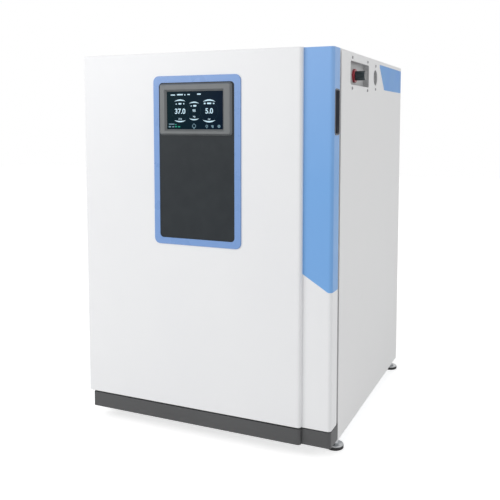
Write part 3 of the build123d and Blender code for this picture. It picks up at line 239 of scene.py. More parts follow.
paints = {
    "doorWhite": {"colours": ((0.845, 0.85, 0.865), (0.865, 0.87, 0.88)), "rough": (0.34, 0.42),
                  "size": 520.0},
    "cabinetWhite": {"colours": ((0.835, 0.84, 0.845), (0.86, 0.86, 0.865)), "rough": (0.45, 0.55),
                     "size": 900.0},
    "plinthGrey": {"colours": ((0.052, 0.053, 0.055), (0.066, 0.067, 0.069)), "rough": (0.42, 0.55),
                   "size": 800.0},
    "motorBlack": {"colours": ((0.018, 0.018, 0.02), (0.03, 0.03, 0.032)), "rough": (0.4, 0.5),
                   "size": 1100.0},
}
metals = {
    "chamberSteel": {"colours": ((0.69, 0.695, 0.7), (0.74, 0.745, 0.75)), "rough": (0.22, 0.3),
                     "size": (10, 2400, 2400), "bump": (0.06, 0.00003)},
    "sheetZinc": {"colours": ((0.42, 0.44, 0.46), (0.58, 0.6, 0.62)), "rough": (0.32, 0.5),
                  "size": (120, 120, 120), "bump": (0.08, 0.00008)},
    "hingeSteel": {"colours": ((0.5, 0.5, 0.5), (0.62, 0.62, 0.62)), "rough": (0.26, 0.38),
                   "size": (900, 900, 40), "bump": (0.15, 0.00004)},
    "supplyCase": {"colours": ((0.6, 0.61, 0.62), (0.7, 0.71, 0.72)), "rough": (0.3, 0.42),
                   "size": (30, 800, 800), "bump": (0.1, 0.00004)},
    "turnedBrass": {"colours": ((0.72, 0.5, 0.2), (0.82, 0.6, 0.28)), "rough": (0.2, 0.34),
                    "size": (1200, 60, 1200), "bump": (0.12, 0.00004)},
    "screwSteel": {"colours": ((0.26, 0.26, 0.27), (0.36, 0.36, 0.37)), "rough": (0.3, 0.42),
                   "size": (700, 900, 900), "bump": (0.1, 0.00003)},
    "lockChrome": {"colours": ((0.68, 0.68, 0.69), (0.78, 0.78, 0.79)), "rough": (0.1, 0.18),
                   "size": (500, 900, 900), "bump": (0.05, 0.00002)},
}
mouldings = {
    "fanBlack": {"colours": ((0.03, 0.03, 0.033), (0.045, 0.045, 0.048)), "rough": (0.42, 0.55)},
    "sensorWhite": {"colours": ((0.7, 0.7, 0.68), (0.78, 0.78, 0.76)), "rough": (0.4, 0.5)},
    "blackMoulding": {"colours": ((0.016, 0.017, 0.02), (0.026, 0.027, 0.03)),
                      "rough": (0.4, 0.52)},
    "recessGrey": {"colours": ((0.46, 0.465, 0.47), (0.51, 0.515, 0.52)), "rough": (0.42, 0.55)},
    "switchRed": {"colours": ((0.34, 0.02, 0.035), (0.42, 0.03, 0.05)), "rough": (0.28, 0.38)},
    "latchGrey": {"colours": ((0.05, 0.055, 0.06), (0.07, 0.075, 0.08)), "rough": (0.36, 0.46)},
    "handleGrey": {"colours": ((0.08, 0.085, 0.104), (0.094, 0.1, 0.12)), "rough": (0.4, 0.5)},
    "portGrey": {"colours": ((0.55, 0.555, 0.56), (0.62, 0.625, 0.63)), "rough": (0.35, 0.45)},
    "surroundBlue": {"colours": ((0.177, 0.324, 0.644), (0.185, 0.334, 0.66)),
                     "rough": (0.25, 0.33)},
    "panelBlack": {"colours": ((0.014, 0.018, 0.022), (0.019, 0.024, 0.028)), "rough": (0.38, 0.46),
                   "shader": {"Specular IOR Level": 0.2}},
    "bezelGrey": {"colours": ((0.125, 0.134, 0.138), (0.142, 0.152, 0.156)), "rough": (0.34, 0.42)},
    "gasketGrey": {"colours": ((0.24, 0.245, 0.25), (0.3, 0.305, 0.31)), "rough": (0.5, 0.62)},
    "siliconeClear": {"colours": ((0.68, 0.69, 0.69), (0.76, 0.77, 0.77)), "rough": (0.35, 0.48),
                      "shader": {"Subsurface Weight": 0.2,
                                 "Subsurface Radius": (0.004, 0.004, 0.004)}},
}
paintBump = (0.16, 0.00012)
mouldingBump = (0.2, 0.00006)
mouldingPebble = 1500.0

finishes = {}
for label, look in paints.items():
    finishes[label] = grainMaterial(label, "peel", look["colours"], look["rough"], paintBump,
                                    look["size"])
for label, look in metals.items():
    finishes[label] = grainMaterial(label, "brush", look["colours"], look["rough"], look["bump"],
                                    look["size"], {"Metallic": 1.0})
for label, look in mouldings.items():
    finishes[label] = grainMaterial(label, "pebble", look["colours"], look["rough"], mouldingBump,
                                    mouldingPebble, look.get("shader"))


def makeFilm():
    # blue film: paler towards the top, with the faint waviness of a stuck-on sheet
    look = {"low": (0.2, 0.425, 0.8), "high": (0.3, 0.49, 0.84), "from": 0.62, "over": 0.5}
    material, tree, shader, place = startMaterial("columnBlue", {"Specular IOR Level": 0.2})
    rise = heightMask(tree, place, 2, look["from"] + look["over"] / 2, look["over"])
    wave = noiseIn(tree, place, 2.0, scale=14.0)
    link(tree, colourMix(tree, rise, look["low"], look["high"]), shader.inputs["Base Color"])
    link(tree, spread(tree, wave.outputs[0], 0.3, 0.38), shader.inputs["Roughness"])
    bumpIn(tree, wave.outputs[0], shader, 0.05, 0.0004)
    return material


def makeLabel():
    look = {"first": (0.145, 0.355, 0.76), "second": (0.165, 0.385, 0.75)}
    material, tree, shader, place = startMaterial("labelBlue", {"Specular IOR Level": 0.15})
    wave = noiseIn(tree, place, 1.5, scale=11.0)
    grain = noiseIn(tree, place, 2.0, scale=1800.0)
    link(tree, colourMix(tree, spread(tree, wave.outputs[0], 0, 1), look["first"], look["second"]),
         shader.inputs["Base Color"])
    link(tree, spread(tree, grain.outputs[0], 0.36, 0.46), shader.inputs["Roughness"])
    bumpIn(tree, grain.outputs[0], shader, 0.05, 0.00003)
    return material


def makeFootFinish():
    # zinc-plated steel above a bonded rubber rim
    look = {"steel": (0.6, 0.61, 0.62), "shade": (0.5, 0.51, 0.52), "rubber": (0.014, 0.014, 0.015),
            "rim": 0.0079, "blend": 0.0004}
    material, tree, shader, place = startMaterial("footSteelAndRubber", {})
    upper = heightMask(tree, place, 2, look["rim"], look["blend"])
    grain = noiseIn(tree, place, 3.0, 0.6, 420.0)
    steel = colourMix(tree, spread(tree, grain.outputs[0], 0, 1), look["shade"], look["steel"])
    link(tree, colourMix(tree, upper, look["rubber"], steel), shader.inputs["Base Color"])
    link(tree, upper, shader.inputs["Metallic"])
    link(tree, mathIn(tree, "SUBTRACT", spread(tree, grain.outputs[0], 0.62, 0.72),
                      mathIn(tree, "MULTIPLY", upper, 0.36)), shader.inputs["Roughness"])
    bumpIn(tree, grain.outputs[0], shader, 0.2, 0.00008)
    return material


def makeKnobFinish():
    # dark fluted side, paler end face; the print entry in look is only how far in from the end the
    # paler colour begins
    look = {"side": (0.036, 0.054, 0.062), "end": (0.15, 0.155, 0.16), "print": 0.0006,
            "blend": 0.0002, "pebble": 1600.0}
    material, tree, shader, place = startMaterial("knobTwoTone", {})
    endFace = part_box("switch_knob")[1].x - look["print"]
    face = heightMask(tree, place, 0, endFace, look["blend"])
    pebble = tree.nodes.new("ShaderNodeTexVoronoi")
    pebble.inputs["Scale"].default_value = look["pebble"]
    link(tree, place, pebble.inputs["Vector"])
    link(tree, colourMix(tree, face, look["side"], look["end"]), shader.inputs["Base Color"])
    link(tree, spread(tree, pebble.outputs["Distance"], 0.34, 0.44, 0, 1),
         shader.inputs["Roughness"])
    bumpIn(tree, pebble.outputs["Distance"], shader, 0.15, 0.00005)
    return material


def makeCircuit():
    # green laminate with copper tracks and tinned pads under the mask
    look = {"mask": (0.012, 0.11, 0.045), "track": (0.02, 0.17, 0.07), "pad": (0.6, 0.6, 0.55)}
    trackPattern = {"Scale": 90.0, "Mortar Size": 0.06, "Brick Width": 1.7, "Row Height": 0.35}
    padPattern = {"Scale": 130.0, "Randomness": 0.15}
    material, tree, shader, place = startMaterial("circuitLaminate", {"Coat Weight": 0.3,
                                                                      "Coat Roughness": 0.2})
    tracks = tree.nodes.new("ShaderNodeTexBrick")
    link(tree, place, tracks.inputs["Vector"])
    for name, value in trackPattern.items():
        tracks.inputs[name].default_value = value
    pads = tree.nodes.new("ShaderNodeTexVoronoi")
    for name, value in padPattern.items():
        pads.inputs[name].default_value = value
    link(tree, place, pads.inputs["Vector"])
    dots = spread(tree, pads.outputs["Distance"], 1, 0, 0.12, 0.16)
    ground = colourMix(tree, tracks.outputs["Fac"], look["mask"], look["track"])
    link(tree, colourMix(tree, dots, ground, look["pad"]), shader.inputs["Base Color"])
    link(tree, mathIn(tree, "MULTIPLY", dots, 0.9), shader.inputs["Metallic"])
    link(tree, spread(tree, tracks.outputs["Fac"], 0.45, 0.32, 0, 1), shader.inputs["Roughness"])
    bumpIn(tree, tracks.outputs["Fac"], shader, 0.2, 0.00004)
    return material


def makeFilterMedia():
    # matted fibres, a little uneven in tone
    look = {"pale": (0.84, 0.84, 0.81), "shade": (0.66, 0.66, 0.62)}
    material, tree, shader, place = startMaterial("filterMedia", {"Sheen Weight": 0.2})
    fibre = noiseIn(tree, place, 6.0, 0.7, 900.0)
    stain = noiseIn(tree, place, 2.0, scale=22.0)
    both = mathIn(tree, "MULTIPLY", fibre.outputs[0], stain.outputs[0])
    link(tree, colourMix(tree, spread(tree, both, 0, 1, 0.15, 0.35), look["shade"], look["pale"]),
         shader.inputs["Base Color"])
    link(tree, spread(tree, fibre.outputs[0], 0.85, 0.95), shader.inputs["Roughness"])
    bumpIn(tree, fibre.outputs[0], shader, 0.5, 0.0002)
    return material


def makeFoam():
    # open cells under a skin that yellows unevenly
    look = {"pale": (0.82, 0.76, 0.55), "shade": (0.6, 0.52, 0.32), "cells": 420.0}
    material, tree, shader, place = startMaterial("rigidFoam", {})
    cells = tree.nodes.new("ShaderNodeTexVoronoi")
    cells.inputs["Scale"].default_value = look["cells"]
    link(tree, place, cells.inputs["Vector"])
    skin = noiseIn(tree, place, 3.0, scale=12.0)
    link(tree, colourMix(tree, spread(tree, skin.outputs[0], 0, 1), look["shade"], look["pale"]),
         shader.inputs["Base Color"])
    link(tree, spread(tree, cells.outputs["Distance"], 0.8, 0.95, 0, 1), shader.inputs["Roughness"])
    bumpIn(tree, cells.outputs["Distance"], shader, 0.6, 0.0006)
    return material


def rowsIn(tree, place, scale):
    node = tree.nodes.new("ShaderNodeTexWave")
    node.bands_direction = "Z"
    node.inputs["Scale"].default_value = scale
    link(tree, place, node.inputs["Vector"])
    return node


def makeHeaterMat():
    # silicone mat with the heating wire showing through as rows
    look = {"mat": (0.46, 0.09, 0.03), "wire": (0.26, 0.05, 0.02), "rows": 26.0}
    material, tree, shader, place = startMaterial("heaterSilicone", {})
    rows = rowsIn(tree, place, look["rows"])
    wire = spread(tree, rows.outputs["Fac"], 0, 1, 0.8, 0.95)
    link(tree, colourMix(tree, wire, look["mat"], look["wire"]), shader.inputs["Base Color"])
    link(tree, spread(tree, rows.outputs["Fac"], 0.62, 0.5, 0, 1), shader.inputs["Roughness"])
    bumpIn(tree, wire, shader, 0.4, 0.0003)
    return material


def makePaneGlass():
    # clear glass with a trace of wiping marks
    look = {"tint": (0.93, 0.965, 0.95), "clear": (0.95, 0.975, 0.965)}
    material, tree, shader, place = startMaterial("paneGlass", {"Transmission Weight": 1.0,
                                                                "IOR": 1.5})
    smear = noiseIn(tree, place, 3.0, scale=6.0)
    link(tree, colourMix(tree, spread(tree, smear.outputs[0], 0, 1), look["tint"], look["clear"]),
         shader.inputs["Base Color"])
    link(tree, spread(tree, smear.outputs[0], 0.0, 0.03, 0.45, 0.75), shader.inputs["Roughness"])
    return material


def makeScreenGlass():
    # dark display under glass, a little bluer at its right side
    look = {"left": (0.002, 0.016, 0.022), "right": (0.001, 0.009, 0.024), "blend": 0.14}
    material, tree, shader, place = startMaterial("displayGlass", {"Specular IOR Level": 0.03})
    middle = (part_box("screen")[0].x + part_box("screen")[1].x) / 2
    across = heightMask(tree, place, 0, middle, look["blend"])
    haze = noiseIn(tree, place, 2.0, scale=30.0)
    link(tree, colourMix(tree, across, look["left"], look["right"]), shader.inputs["Base Color"])
    link(tree, spread(tree, haze.outputs[0], 0.12, 0.2), shader.inputs["Roughness"])
    return material


def makeGlow(name, colour, strength):
    # a lit mark on the display, uneven as its pixels are
    values = {"Emission Strength": strength, "Specular IOR Level": 0.1, "Roughness": 0.4}
    material, tree, shader, place = startMaterial(name, values)
    rows = rowsIn(tree, place, 900.0)
    shade = colourMix(tree, rows.outputs["Fac"], tuple(0.85 * part for part in colour), colour)
    link(tree, shade, shader.inputs["Base Color"])
    link(tree, shade, shader.inputs["Emission Color"])
    return material


glows = {"glowPale": ((0.5, 0.68, 0.78), 0.35), "glowDim": ((0.16, 0.27, 0.33), 0.2),
         "glowGreen": ((0.02, 0.3, 0.2), 0.25), "dialTeal": ((0.004, 0.03, 0.045), 0.1)}
finishes.update({"columnBlue": makeFilm(), "labelBlue": makeLabel(), "footFinish": makeFootFinish(),
                 "knobFinish": makeKnobFinish(), "circuit": makeCircuit(),
                 "filterMedia": makeFilterMedia(), "foam": makeFoam(), "heaterMat": makeHeaterMat(),
                 "paneGlass": makePaneGlass(), "displayGlass": makeScreenGlass()})
for label, (colour, strength) in glows.items():
    finishes[label] = makeGlow(label, colour, strength)
print("finishes made:", len(finishes))


# Finishes for the carried-over nodes, by the record's material slots, with two nodes of their own

slotFinish = {
    "cabinet_paint": "cabinetWhite", "door_paint": "doorWhite", "dark_paint": "plinthGrey",
    "blue_film": "columnBlue", "blue_label": "labelBlue", "stainless": "chamberSteel",
    "galvanised": "sheetZinc", "hinge_steel": "hingeSteel", "foam": "foam", "heater": "heaterMat",
    "inner_seal": "siliconeClear", "outer_seal": "gasketGrey", "pane": "paneGlass",
    "filter_media": "filterMedia", "fan_plastic": "fanBlack", "motor_case": "motorBlack",
    "sensor_head": "sensorWhite", "supply_case": "supplyCase", "circuit": "circuit",
    "brass": "turnedBrass",
    "black_plastic": "blackMoulding", "recess_grey": "recessGrey", "red_plastic": "switchRed",
    "knob_grey": "knobFinish", "port_grey": "portGrey", "screw_steel": "screwSteel",
    "foot_steel": "footFinish", "blue_plastic": "surroundBlue", "panel_black": "panelBlack",
    "bezel_grey": "bezelGrey", "screen_glass": "displayGlass", "lock_chrome": "lockChrome",
}
nodeFinish = {"glass_latch": "latchGrey", "handle_cup": "handleGrey"}


def dressNodes():
    for part in frame["record"]["subparts"]:
        node = frame["nodes"][part["node"]]
        finish = finishes[nodeFinish.get(part["node"], slotFinish[part["material_slot"]])]
        node.data.materials.clear()
        node.data.materials.append(finish)


dressNodes()
print("nodes dressed:", len(frame["nodes"]))


# Hand tools for the new pieces

def putDown():
    if bpy.context.mode != "OBJECT":
        bpy.ops.object.mode_set(mode="OBJECT")
    bpy.ops.object.select_all(action="DESELECT")


def takeUp(piece):
    putDown()
    piece.select_set(True)
    bpy.context.view_layer.objects.active = piece


def openMesh(piece):
    takeUp(piece)
    bpy.ops.object.mode_set(mode="EDIT")
    bpy.ops.mesh.select_mode(type="FACE")
    bpy.ops.mesh.select_all(action="SELECT")


def pickFaces(piece, wanted):
    bpy.ops.mesh.select_all(action="DESELECT")
    shape = bmesh.from_edit_mesh(piece.data)
    for face in shape.faces:
        if wanted(face.calc_center_median(), face.normal):
            face.select_set(True)
    bmesh.update_edit_mesh(piece.data)


def pickEdges(piece, wanted):
    bpy.ops.mesh.select_mode(type="EDGE")
    bpy.ops.mesh.select_all(action="DESELECT")
    shape = bmesh.from_edit_mesh(piece.data)
    for edge in shape.edges:
        if wanted(edge.verts[0].co, edge.verts[1].co):
            edge.select_set(True)
    bmesh.update_edit_mesh(piece.data)


def fixPlace(piece):
    takeUp(piece)
    bpy.ops.object.transform_apply(location=True, rotation=True, scale=True)


def cut(piece, cutter):
    takeUp(piece)
    step = piece.modifiers.new("cut", "BOOLEAN")
    step.operation = "DIFFERENCE"
    step.object = cutter
    step.solver = "EXACT"
    bpy.ops.object.modifier_apply(modifier=step.name)
    bpy.data.objects.remove(cutter)


def joinAll(name, parts):
    putDown()
    for part in parts:
        part.select_set(True)
    bpy.context.view_layer.objects.active = parts[0]
    bpy.ops.object.join()
    parts[0].name = name
    parts[0].data.name = name
    return parts[0]


def finishPiece(piece, name, finish, body, smoothAngle=35):
    piece.name = name
    piece.data.name = name
    fixPlace(piece)
    bpy.ops.object.shade_smooth_by_angle(angle=math.radians(smoothAngle))
    piece.data.materials.clear()
    piece.data.materials.append(finishes[finish])
    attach(piece, body)
    putDown()
    return piece


# Gaskets: a flat plate becomes a ring, and insets raise its lips

doorGasket = {"radius": 0.030, "lipWidth": 0.016, "footWidth": 0.010, "foot": 0.003,
              "groove": 0.003, "grooveDepth": 0.0022, "sideInset": 0.002, "sideStep": 0.0008,
              "sideDepth": 0.0009, "soft": 0.0006}
glassGasket = {"radius": 0.033, "width": 0.011, "groove": 0.0028, "grooveDepth": 0.0016,
               "soft": 0.0005}


def ringPlate(low, high, radius, width, depth):
    # a frame with round corners, from the front of the box to the given depth
    middle = (low + high) / 2
    bpy.ops.mesh.primitive_plane_add(size=1, location=(middle.x, low.y, middle.z),
                                     rotation=(math.pi / 2, 0, 0))
    piece = bpy.context.object
    piece.scale = (high.x - low.x, high.z - low.z, 1)
    fixPlace(piece)
    openMesh(piece)
    bpy.ops.mesh.select_mode(type="VERT")
    bpy.ops.mesh.bevel(offset=radius, segments=8, affect="VERTICES")
    bpy.ops.mesh.select_mode(type="FACE")
    bpy.ops.mesh.select_all(action="SELECT")
    bpy.ops.mesh.inset(thickness=width, depth=0)
    bpy.ops.mesh.delete(type="FACE")
    bpy.ops.mesh.select_all(action="SELECT")
    bpy.ops.mesh.extrude_region_move(TRANSFORM_OT_translate={"value": (0, depth, 0)})
    bpy.ops.mesh.select_all(action="SELECT")
    bpy.ops.mesh.normals_make_consistent(inside=False)
    return piece


def softenEdges(piece, width, segments=2, angle=35):
    takeUp(piece)
    step = piece.modifiers.new("soften", "BEVEL")
    step.width = width
    step.segments = segments
    step.limit_method = "ANGLE"
    step.angle_limit = math.radians(angle)
    bpy.ops.object.modifier_apply(modifier=step.name)


def makeDoorGasket():
    low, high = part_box("door_seal")
    lipStart = Vector((low.x, low.y + doorGasket["foot"], low.z))
    piece = ringPlate(lipStart, high, doorGasket["radius"], doorGasket["lipWidth"],
                      high.y - lipStart.y)
    # towards the door: the foot
    pickFaces(piece, lambda centre, normal: normal.y < -0.9)
    bpy.ops.mesh.inset(thickness=(doorGasket["lipWidth"] - doorGasket["footWidth"]) / 2, depth=0)
    bpy.ops.mesh.extrude_region_move(TRANSFORM_OT_translate={"value": (0, -doorGasket["foot"], 0)})
    # towards the cabinet: two lips
    pickFaces(piece, lambda centre, normal: normal.y > 0.9)
    bpy.ops.mesh.inset(thickness=doorGasket["groove"], depth=0)
    bpy.ops.mesh.inset(thickness=doorGasket["groove"] / 2, depth=0)
    bpy.ops.transform.translate(value=(0, -doorGasket["grooveDepth"], 0))
    # the sides: a shallow channel round the magnet's sleeve
    pickFaces(piece, lambda centre, normal: abs(normal.y) < 0.1 and centre.y > lipStart.y + 0.001)
    bpy.ops.mesh.inset(thickness=doorGasket["sideInset"], depth=0, use_individual=False)
    bpy.ops.mesh.inset(thickness=doorGasket["sideStep"], depth=-doorGasket["sideDepth"],
                       use_individual=False)
    softenEdges(piece, doorGasket["soft"])
    return finishPiece(piece, "doorGasket", "gasketGrey", "outer_door", 50)


def makeGlassGasket():
    low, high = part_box("glass_seal")
    piece = ringPlate(low, high, glassGasket["radius"], glassGasket["width"], high.y - low.y)
    # towards the pane: two lips
    pickFaces(piece, lambda centre, normal: normal.y < -0.9)
    bpy.ops.mesh.inset(thickness=glassGasket["groove"], depth=0)
    bpy.ops.mesh.inset(thickness=glassGasket["groove"] / 3, depth=0)
    bpy.ops.transform.translate(value=(0, glassGasket["grooveDepth"], 0))
    softenEdges(piece, glassGasket["soft"])
    return finishPiece(piece, "glassGasket", "siliconeClear", "cabinet", 50)


putDown()
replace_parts(makeDoorGasket(), "door_seal")
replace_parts(makeGlassGasket(), "glass_seal")
print("gaskets made")


# Door edge: the strip behind the skin's rounded right front edge, and the foam with round corners

doorEdge = {"x": 0.24635, "y": -0.3475, "outer": 0.0079, "inner": 0.0069, "low": 0.0702,
            "high": 0.9188, "spare": 0.01}
doorFilling = {"rightRound": 0.0065, "leftRound": 0.0025, "pocketLow": (-0.11315, 0.4735),
               "pocketHigh": (0.10235, 0.859), "pocketBack": -0.322}


def post(radius, low, high):
    # a round post on the axis of the door's rounded edge
    bpy.ops.mesh.primitive_cylinder_add(vertices=96, radius=radius, depth=high - low,
                                        location=(doorEdge["x"], doorEdge["y"], (low + high) / 2))
    piece = bpy.context.object
    fixPlace(piece)
    return piece


def makeDoorEdgeStrip():
    # a quarter of a thin tube
    strip = post(doorEdge["outer"], doorEdge["low"], doorEdge["high"])
    cut(strip, post(doorEdge["inner"], doorEdge["low"] - doorEdge["spare"],
                    doorEdge["high"] + doorEdge["spare"]))
    for direction in ((1, 0, 0), (0, -1, 0)):
        openMesh(strip)
        bpy.ops.mesh.bisect(plane_co=(doorEdge["x"], doorEdge["y"], doorEdge["low"]),
                            plane_no=direction, use_fill=True, clear_inner=True)
        bpy.ops.object.mode_set(mode="OBJECT")
    return finishPiece(strip, "doorEdgeStrip", "doorWhite", "outer_door", 40)


def block(low, high):
    bpy.ops.mesh.primitive_cube_add(size=1, location=(low + high) / 2)
    piece = bpy.context.object
    piece.scale = high - low
    fixPlace(piece)
    return piece


def makeDoorFoam():
    # a block with its two front edges rounded and a pocket for the panel's box
    low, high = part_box("door_insulation")
    foam = block(low, high)
    openMesh(foam)
    for side, radius in ((high.x, doorFilling["rightRound"]), (low.x, doorFilling["leftRound"])):
        pickEdges(foam, lambda one, two: all(abs(end.x - side) + abs(end.y - low.y) < 0.0001
                                             for end in (one, two)))
        bpy.ops.mesh.bevel(offset=radius, segments=6, affect="EDGES")
    bpy.ops.object.mode_set(mode="OBJECT")
    x0, z0 = doorFilling["pocketLow"]
    x1, z1 = doorFilling["pocketHigh"]
    cut(foam, block(Vector((x0, low.y - doorEdge["spare"], z0)),
                    Vector((x1, doorFilling["pocketBack"], z1))))
    return finishPiece(foam, "doorFoam", "foam", "outer_door")


putDown()
makeDoorEdgeStrip()
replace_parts(makeDoorFoam(), "door_insulation")
print("door edge made")


# Cross-recess screws

sideScrews = {"radius": 0.0034, "head": 0.0016, "shank": 0.007, "shankRadius": 0.002,
              "face": 0.32235,
              "places": [(-0.202, 0.83655), (-0.062, 0.83655), (-0.202, 0.90705), (-0.062, 0.90705),
                         (0.020, 0.84325), (0.020, 0.90275)]}
hingeScrews = {"radius": 0.0032, "head": 0.0012, "shank": 0.002, "shankRadius": 0.0016,
               "face": -0.32565,
               "cabinetPlaces": [(-0.2695, 0.155), (-0.2695, 0.815)],
               "doorPlaces": [(-0.3215, 0.1853), (-0.3215, 0.8453)]}
rearScrews = {"radius": 0.0032, "head": 0.0015, "shank": 0.001, "shankRadius": 0.0018,
              "face": 0.3365,
              "places": [(x, z) for x in (-0.306, 0.306) for z in (0.06, 0.27, 0.48, 0.69, 0.9)]
              + [(x, z) for x in (-0.15, 0.15) for z in (0.042, 0.904)]}
inletScrews = {"radius": 0.0026, "head": 0.0012, "shank": 0.001, "shankRadius": 0.0014,
               "face": 0.339,
               "places": [(0.21585, 0.866), (0.25585, 0.866)]}
recess = {"rim": 0.22, "dome": 0.12, "soft": 0.06, "length": 1.25, "width": 0.3, "deep": 1.3,
          "lift": 1.1, "taper": 0.55}


def modelScrew(look):
    # stands on z = 0 with its head up; the recess is two crossing tapered slots
    radius, head = look["radius"], look["head"]
    bpy.ops.mesh.primitive_cylinder_add(vertices=28, radius=radius, depth=head,
                                        location=(0, 0, head / 2))
    screw = bpy.context.object
    fixPlace(screw)
    openMesh(screw)
    pickFaces(screw, lambda centre, normal: normal.z > 0.9)
    bpy.ops.mesh.inset(thickness=radius * recess["rim"], depth=0)
    bpy.ops.transform.translate(value=(0, 0, head * recess["dome"]))
    pickFaces(screw, lambda centre, normal: normal.z < -0.9)
    bpy.ops.mesh.inset(thickness=radius - look["shankRadius"], depth=0)
    bpy.ops.mesh.extrude_region_move(TRANSFORM_OT_translate={"value": (0, 0, -look["shank"])})
    bpy.ops.object.mode_set(mode="OBJECT")
    softenEdges(screw, radius * recess["soft"], 1, 50)
    for turn in (0, math.pi / 2):
        bpy.ops.mesh.primitive_cube_add(size=1, location=(0, 0, head * recess["lift"]),
                                        rotation=(0, 0, turn))
        slotCutter = bpy.context.object
        slotCutter.scale = (radius * recess["length"], radius * recess["width"],
                            head * recess["deep"])
        fixPlace(slotCutter)
        openMesh(slotCutter)
        pickFaces(slotCutter, lambda centre, normal: normal.z < -0.9)
        bpy.ops.transform.resize(value=(recess["taper"], recess["taper"], 1))
        bpy.ops.object.mode_set(mode="OBJECT")
        cut(screw, slotCutter)
    return screw


def copyScrew(model, place, turn):
    screw = model.copy()
    screw.data = model.data.copy()
    scene.collection.objects.link(screw)
    screw.rotation_mode = "XYZ"
    screw.rotation_euler = turn
    screw.location = place
    fixPlace(screw)
    return screw


def makeScrews(name, look, side, body, placeList="places"):
    # places are (y, z) on the left and right sides and (x, z) on the rear
    model = modelScrew(look)
    copies = []
    for first, z in look[placeList]:
        place = (first, look["face"], z) if side == "rear" else (look["face"], first, z)
        copies.append(copyScrew(model, place, sideTurns[side]))
    bpy.data.objects.remove(model)
    return finishPiece(joinAll(name, copies), name, "screwSteel", body, 30)


sideTurns = {"right": (0, math.pi / 2, 0), "left": (0, -math.pi / 2, 0),
             "rear": (-math.pi / 2, 0, 0)}
putDown()
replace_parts(makeScrews("panelScrewHeads", sideScrews, "right", "cabinet"),
            "panel_screws")
makeScrews("cabinetHingeScrews", hingeScrews, "left", "cabinet", "cabinetPlaces")
makeScrews("doorHingeScrews", hingeScrews, "left", "outer_door", "doorPlaces")
makeScrews("rearPanelScrews", rearScrews, "rear", "cabinet")
makeScrews("inletScrews", inletScrews, "rear", "cabinet")
print("screws made")


# What the display shows: dials with plain numbers, short bars and small signs

screenLow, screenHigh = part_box("screen")
screenX = (screenLow.x + screenHigh.x) / 2
screenZ = (screenLow.z + screenHigh.z) / 2
screenFront = screenLow.y
display = {"sink": 0.00005, "proud": 0.0001, "ringInset": 3.6, "ringWidth": 0.35,
           "valueWeight": 0.02, "numberWeight": 0.01, "cornerShare": 0.42}
dials = {
    "left": {"x": -38.2, "z": -1.0, "radius": 26.5, "chord": 30, "thick": 3.0, "value": "37.0",
             "size": 16.8, "drop": -2.6},
    "middle": {"x": -0.9, "z": -1.5, "radius": 21.5, "chord": 26, "thick": 2.8, "value": "95",
               "size": 8.4, "drop": -0.6},
    "right": {"x": 38.2, "z": -1.6, "radius": 26.4, "chord": 33, "thick": 3.4, "value": "5.0",
              "size": 16.8, "drop": -1.6},
}
# numbers are (text, x, z, size), bars are (x, z, width, height)
# and rings are (x, z, radius, width, corners), in millimetres from the screen's middle
smallNumbers = [("37.0", -38.2, -20.0, 5.2), ("5.0", 38.2, -20.6, 5.2), ("90", -0.9, -15.4, 6.4)]
bars = [(-57, 36, 12, 2.4), (-38, 36.6, 16, 3.0), (-25, 36, 2.6, 3.4), (-15, 36.6, 7, 2.4),
        (12, 37, 10, 3.0),
        (-38.2, 15.4, 8, 3.6), (-48, 14.8, 3.2, 2.4), (-28, 15.4, 2.8, 3.2),
        (1, 10.4, 8.5, 3.8), (-8.2, 10, 3, 2.6),
        (38.4, 15.6, 11, 3.6), (27, 15.4, 4.4, 3.6), (50, 15.2, 4.2, 2.8)]
greyBars = [(-61, -32, 15, 2.4), (-66, -38, 6.5, 3.4), (-56.5, -38.2, 5.5, 2.6)]
greenBars = [(-49, -38, 5.5, 2.6), (-41, -38, 6, 2.8), (-50, -33, 4, 2.0)]
drop = {"x": -1.3, "z": -36, "ring": (5, 1.6, 48), "shoulder": 2.6, "point": (0.45, 1, 1.4)}
dropFoot = (-1.3, -42.4, 3, 2.2)
signRings = [(32, -36.6, 3.2, 1.5, 40), (63.4, -37, 3.6, 1.6, 40)]
signBars = [(32, -40.2, 2, 2.6), (47.4, -37.4, 4.2, 6.4), (44.6, -36, 2.6, 3.2),
            (63.4, -37, 2.6, 5.6)]


def onScreen(x, z):
    return screenX + x * mm, screenZ + z * mm


def disc(x, z, radius, vertices, middle, depth):
    # its axis runs to the front
    placeX, placeZ = onScreen(x, z)
    bpy.ops.mesh.primitive_cylinder_add(vertices=vertices, radius=radius * mm, depth=depth,
                                        location=(placeX, middle, placeZ),
                                        rotation=(math.pi / 2, 0, 0))
    piece = bpy.context.object
    fixPlace(piece)
    return piece


def flatDisc(x, z, radius, vertices):
    depth = display["sink"] + display["proud"]
    return disc(x, z, radius, vertices, screenFront + display["sink"] - depth / 2, depth)


def discCutter(x, z, radius, vertices):
    return disc(x, z, radius, vertices, screenFront, 0.004)


def crescent(x, z, radius, chord, thick, up):
    # what a wide circle leaves of the dial's own circle: thick in the middle, pointed at both ends
    tip = math.sqrt(radius ** 2 - (chord / 2) ** 2)
    rise = radius - thick - tip
    wide = ((chord / 2) ** 2 + rise ** 2) / (2 * rise)
    piece = flatDisc(x, z, radius, 128)
    cut(piece, discCutter(x, z + up * (radius - thick - wide), wide, 256))
    return piece


def thinRing(x, z, radius, width, vertices=72):
    piece = flatDisc(x, z, radius, vertices)
    cut(piece, discCutter(x, z, radius - width, vertices))
    return piece


